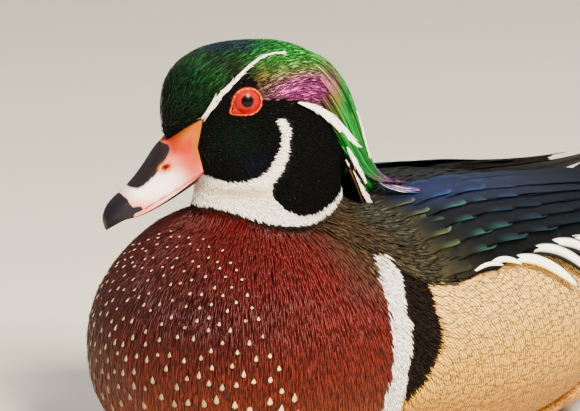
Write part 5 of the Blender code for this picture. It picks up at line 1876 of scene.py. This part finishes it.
# Root x, turn in degrees, length, width, lift over the body, inward aim in degrees
PLUMES = ((-1, 62.5, 15, 1.8, 1.4, 0), (-8, 61.5, 17, 2.6, 1.8, -7), (-19, 60.0, 35, 4.6, 2.0, -26),
          (-30, 58.0, 37, 5.8, 2.4, -28), (-40, 56.5, 38, 5.8, 2.7, -28),
          (-50, 56.5, 38, 5.8, 2.8, -28), (-60, 57.5, 36, 5.6, 2.8, -28))


FRONT_PLUMES = 3      # the small ones in front, gold below their white

def plume_tint(side):
    """White along a plume with a black upper rim, and gold or black below."""
    def tint(points, feather, local):
        upper = (local[:, 0] - 0.5) * 2 * side
        c = plumage(points, np.full(len(points), REGION["flank"]))
        front = feather < FRONT_PLUMES
        c = mix(c, "#070605", ~front)
        c = mix(c, "#FFFDF6", step(-0.3, -0.15, upper + 0.4 * front))
        c = mix(c, "#050505", step(0.66, 0.8, upper))
        return mix(c, "#050505", step(0.93, 0.98, local[:, 1]))
    return tint


for side in (1, -1):
    swept = vane_sweep(FINE_BODY, PLUMES, PLUME_SHAPE)
    if side < 0:
        swept = mirrored(swept, WIDE_VANE)
    name = "flank_plumes_left" if side > 0 else "flank_plumes_right"
    thing = make_tract(name, swept, patch_grid(len(PLUMES), 0.9), PLUME_SHAPE, plume_tint(side),
                       WHITE_DOWN)
    print(name, len(thing.data.polygons), "triangles")

# %% [markdown]
# The legs and webbed feet are tucked under the belly. Their shapes from the model stay, and
# get the skin of a duck's foot: small horny scales with darker seams, dull ochre and dry.

# %% Legs and feet


def scaly_material():
    """Horny scales, about a millimetre across, over dull ochre skin."""
    material, tree, shader = new_material("scaled_foot_skin")
    place = add_node(tree, "ShaderNodeTexCoord")
    cells = add_node(tree, "ShaderNodeTexVoronoi", {"feature": "DISTANCE_TO_EDGE"},
                     {"Vector": place.outputs["Object"], "Scale": 800.0})
    seam = add_node(tree, "ShaderNodeMapRange",
                    inputs={"Value": cells.outputs["Distance"], "From Max": 0.12})
    mottle = add_node(tree, "ShaderNodeTexNoise",
                      inputs={"Vector": place.outputs["Object"], "Scale": 140.0, "Detail": 3.0})
    both = add_node(tree, "ShaderNodeMath", {"operation": "MULTIPLY"},
                    {0: seam.outputs["Result"], 1: mottle.outputs["Fac"]})
    ramp = add_node(tree, "ShaderNodeValToRGB", inputs={"Fac": both.outputs[0]})
    ramp.color_ramp.elements[0].color = (*linear("#3A2408"), 1)
    ramp.color_ramp.elements[1].color = (*linear("#D08A1C"), 1)
    ramp.color_ramp.elements[1].position = 0.6
    bump = add_node(tree, "ShaderNodeBump", inputs={"Height": seam.outputs["Result"],
                                                    "Strength": 0.5, "Distance": 0.0003})
    tree.links.new(ramp.outputs["Color"], shader.inputs["Base Color"])
    tree.links.new(bump.outputs["Normal"], shader.inputs["Normal"])
    shader.inputs["Roughness"].default_value = 0.55
    return material


FOOT_SKIN = scaly_material()
for name in ("leg_left", "leg_right", "foot_left", "foot_right"):
    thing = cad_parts[name]
    thing.material_slots[0].material = FOOT_SKIN
print("feet finished")

# %% [markdown]
# The two flank coats also stand in for the flanks' solids, which they cover.

# %% Flank stand-ins
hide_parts("flank_left")
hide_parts("flank_right")
print("flank coats stand in for the flanks")
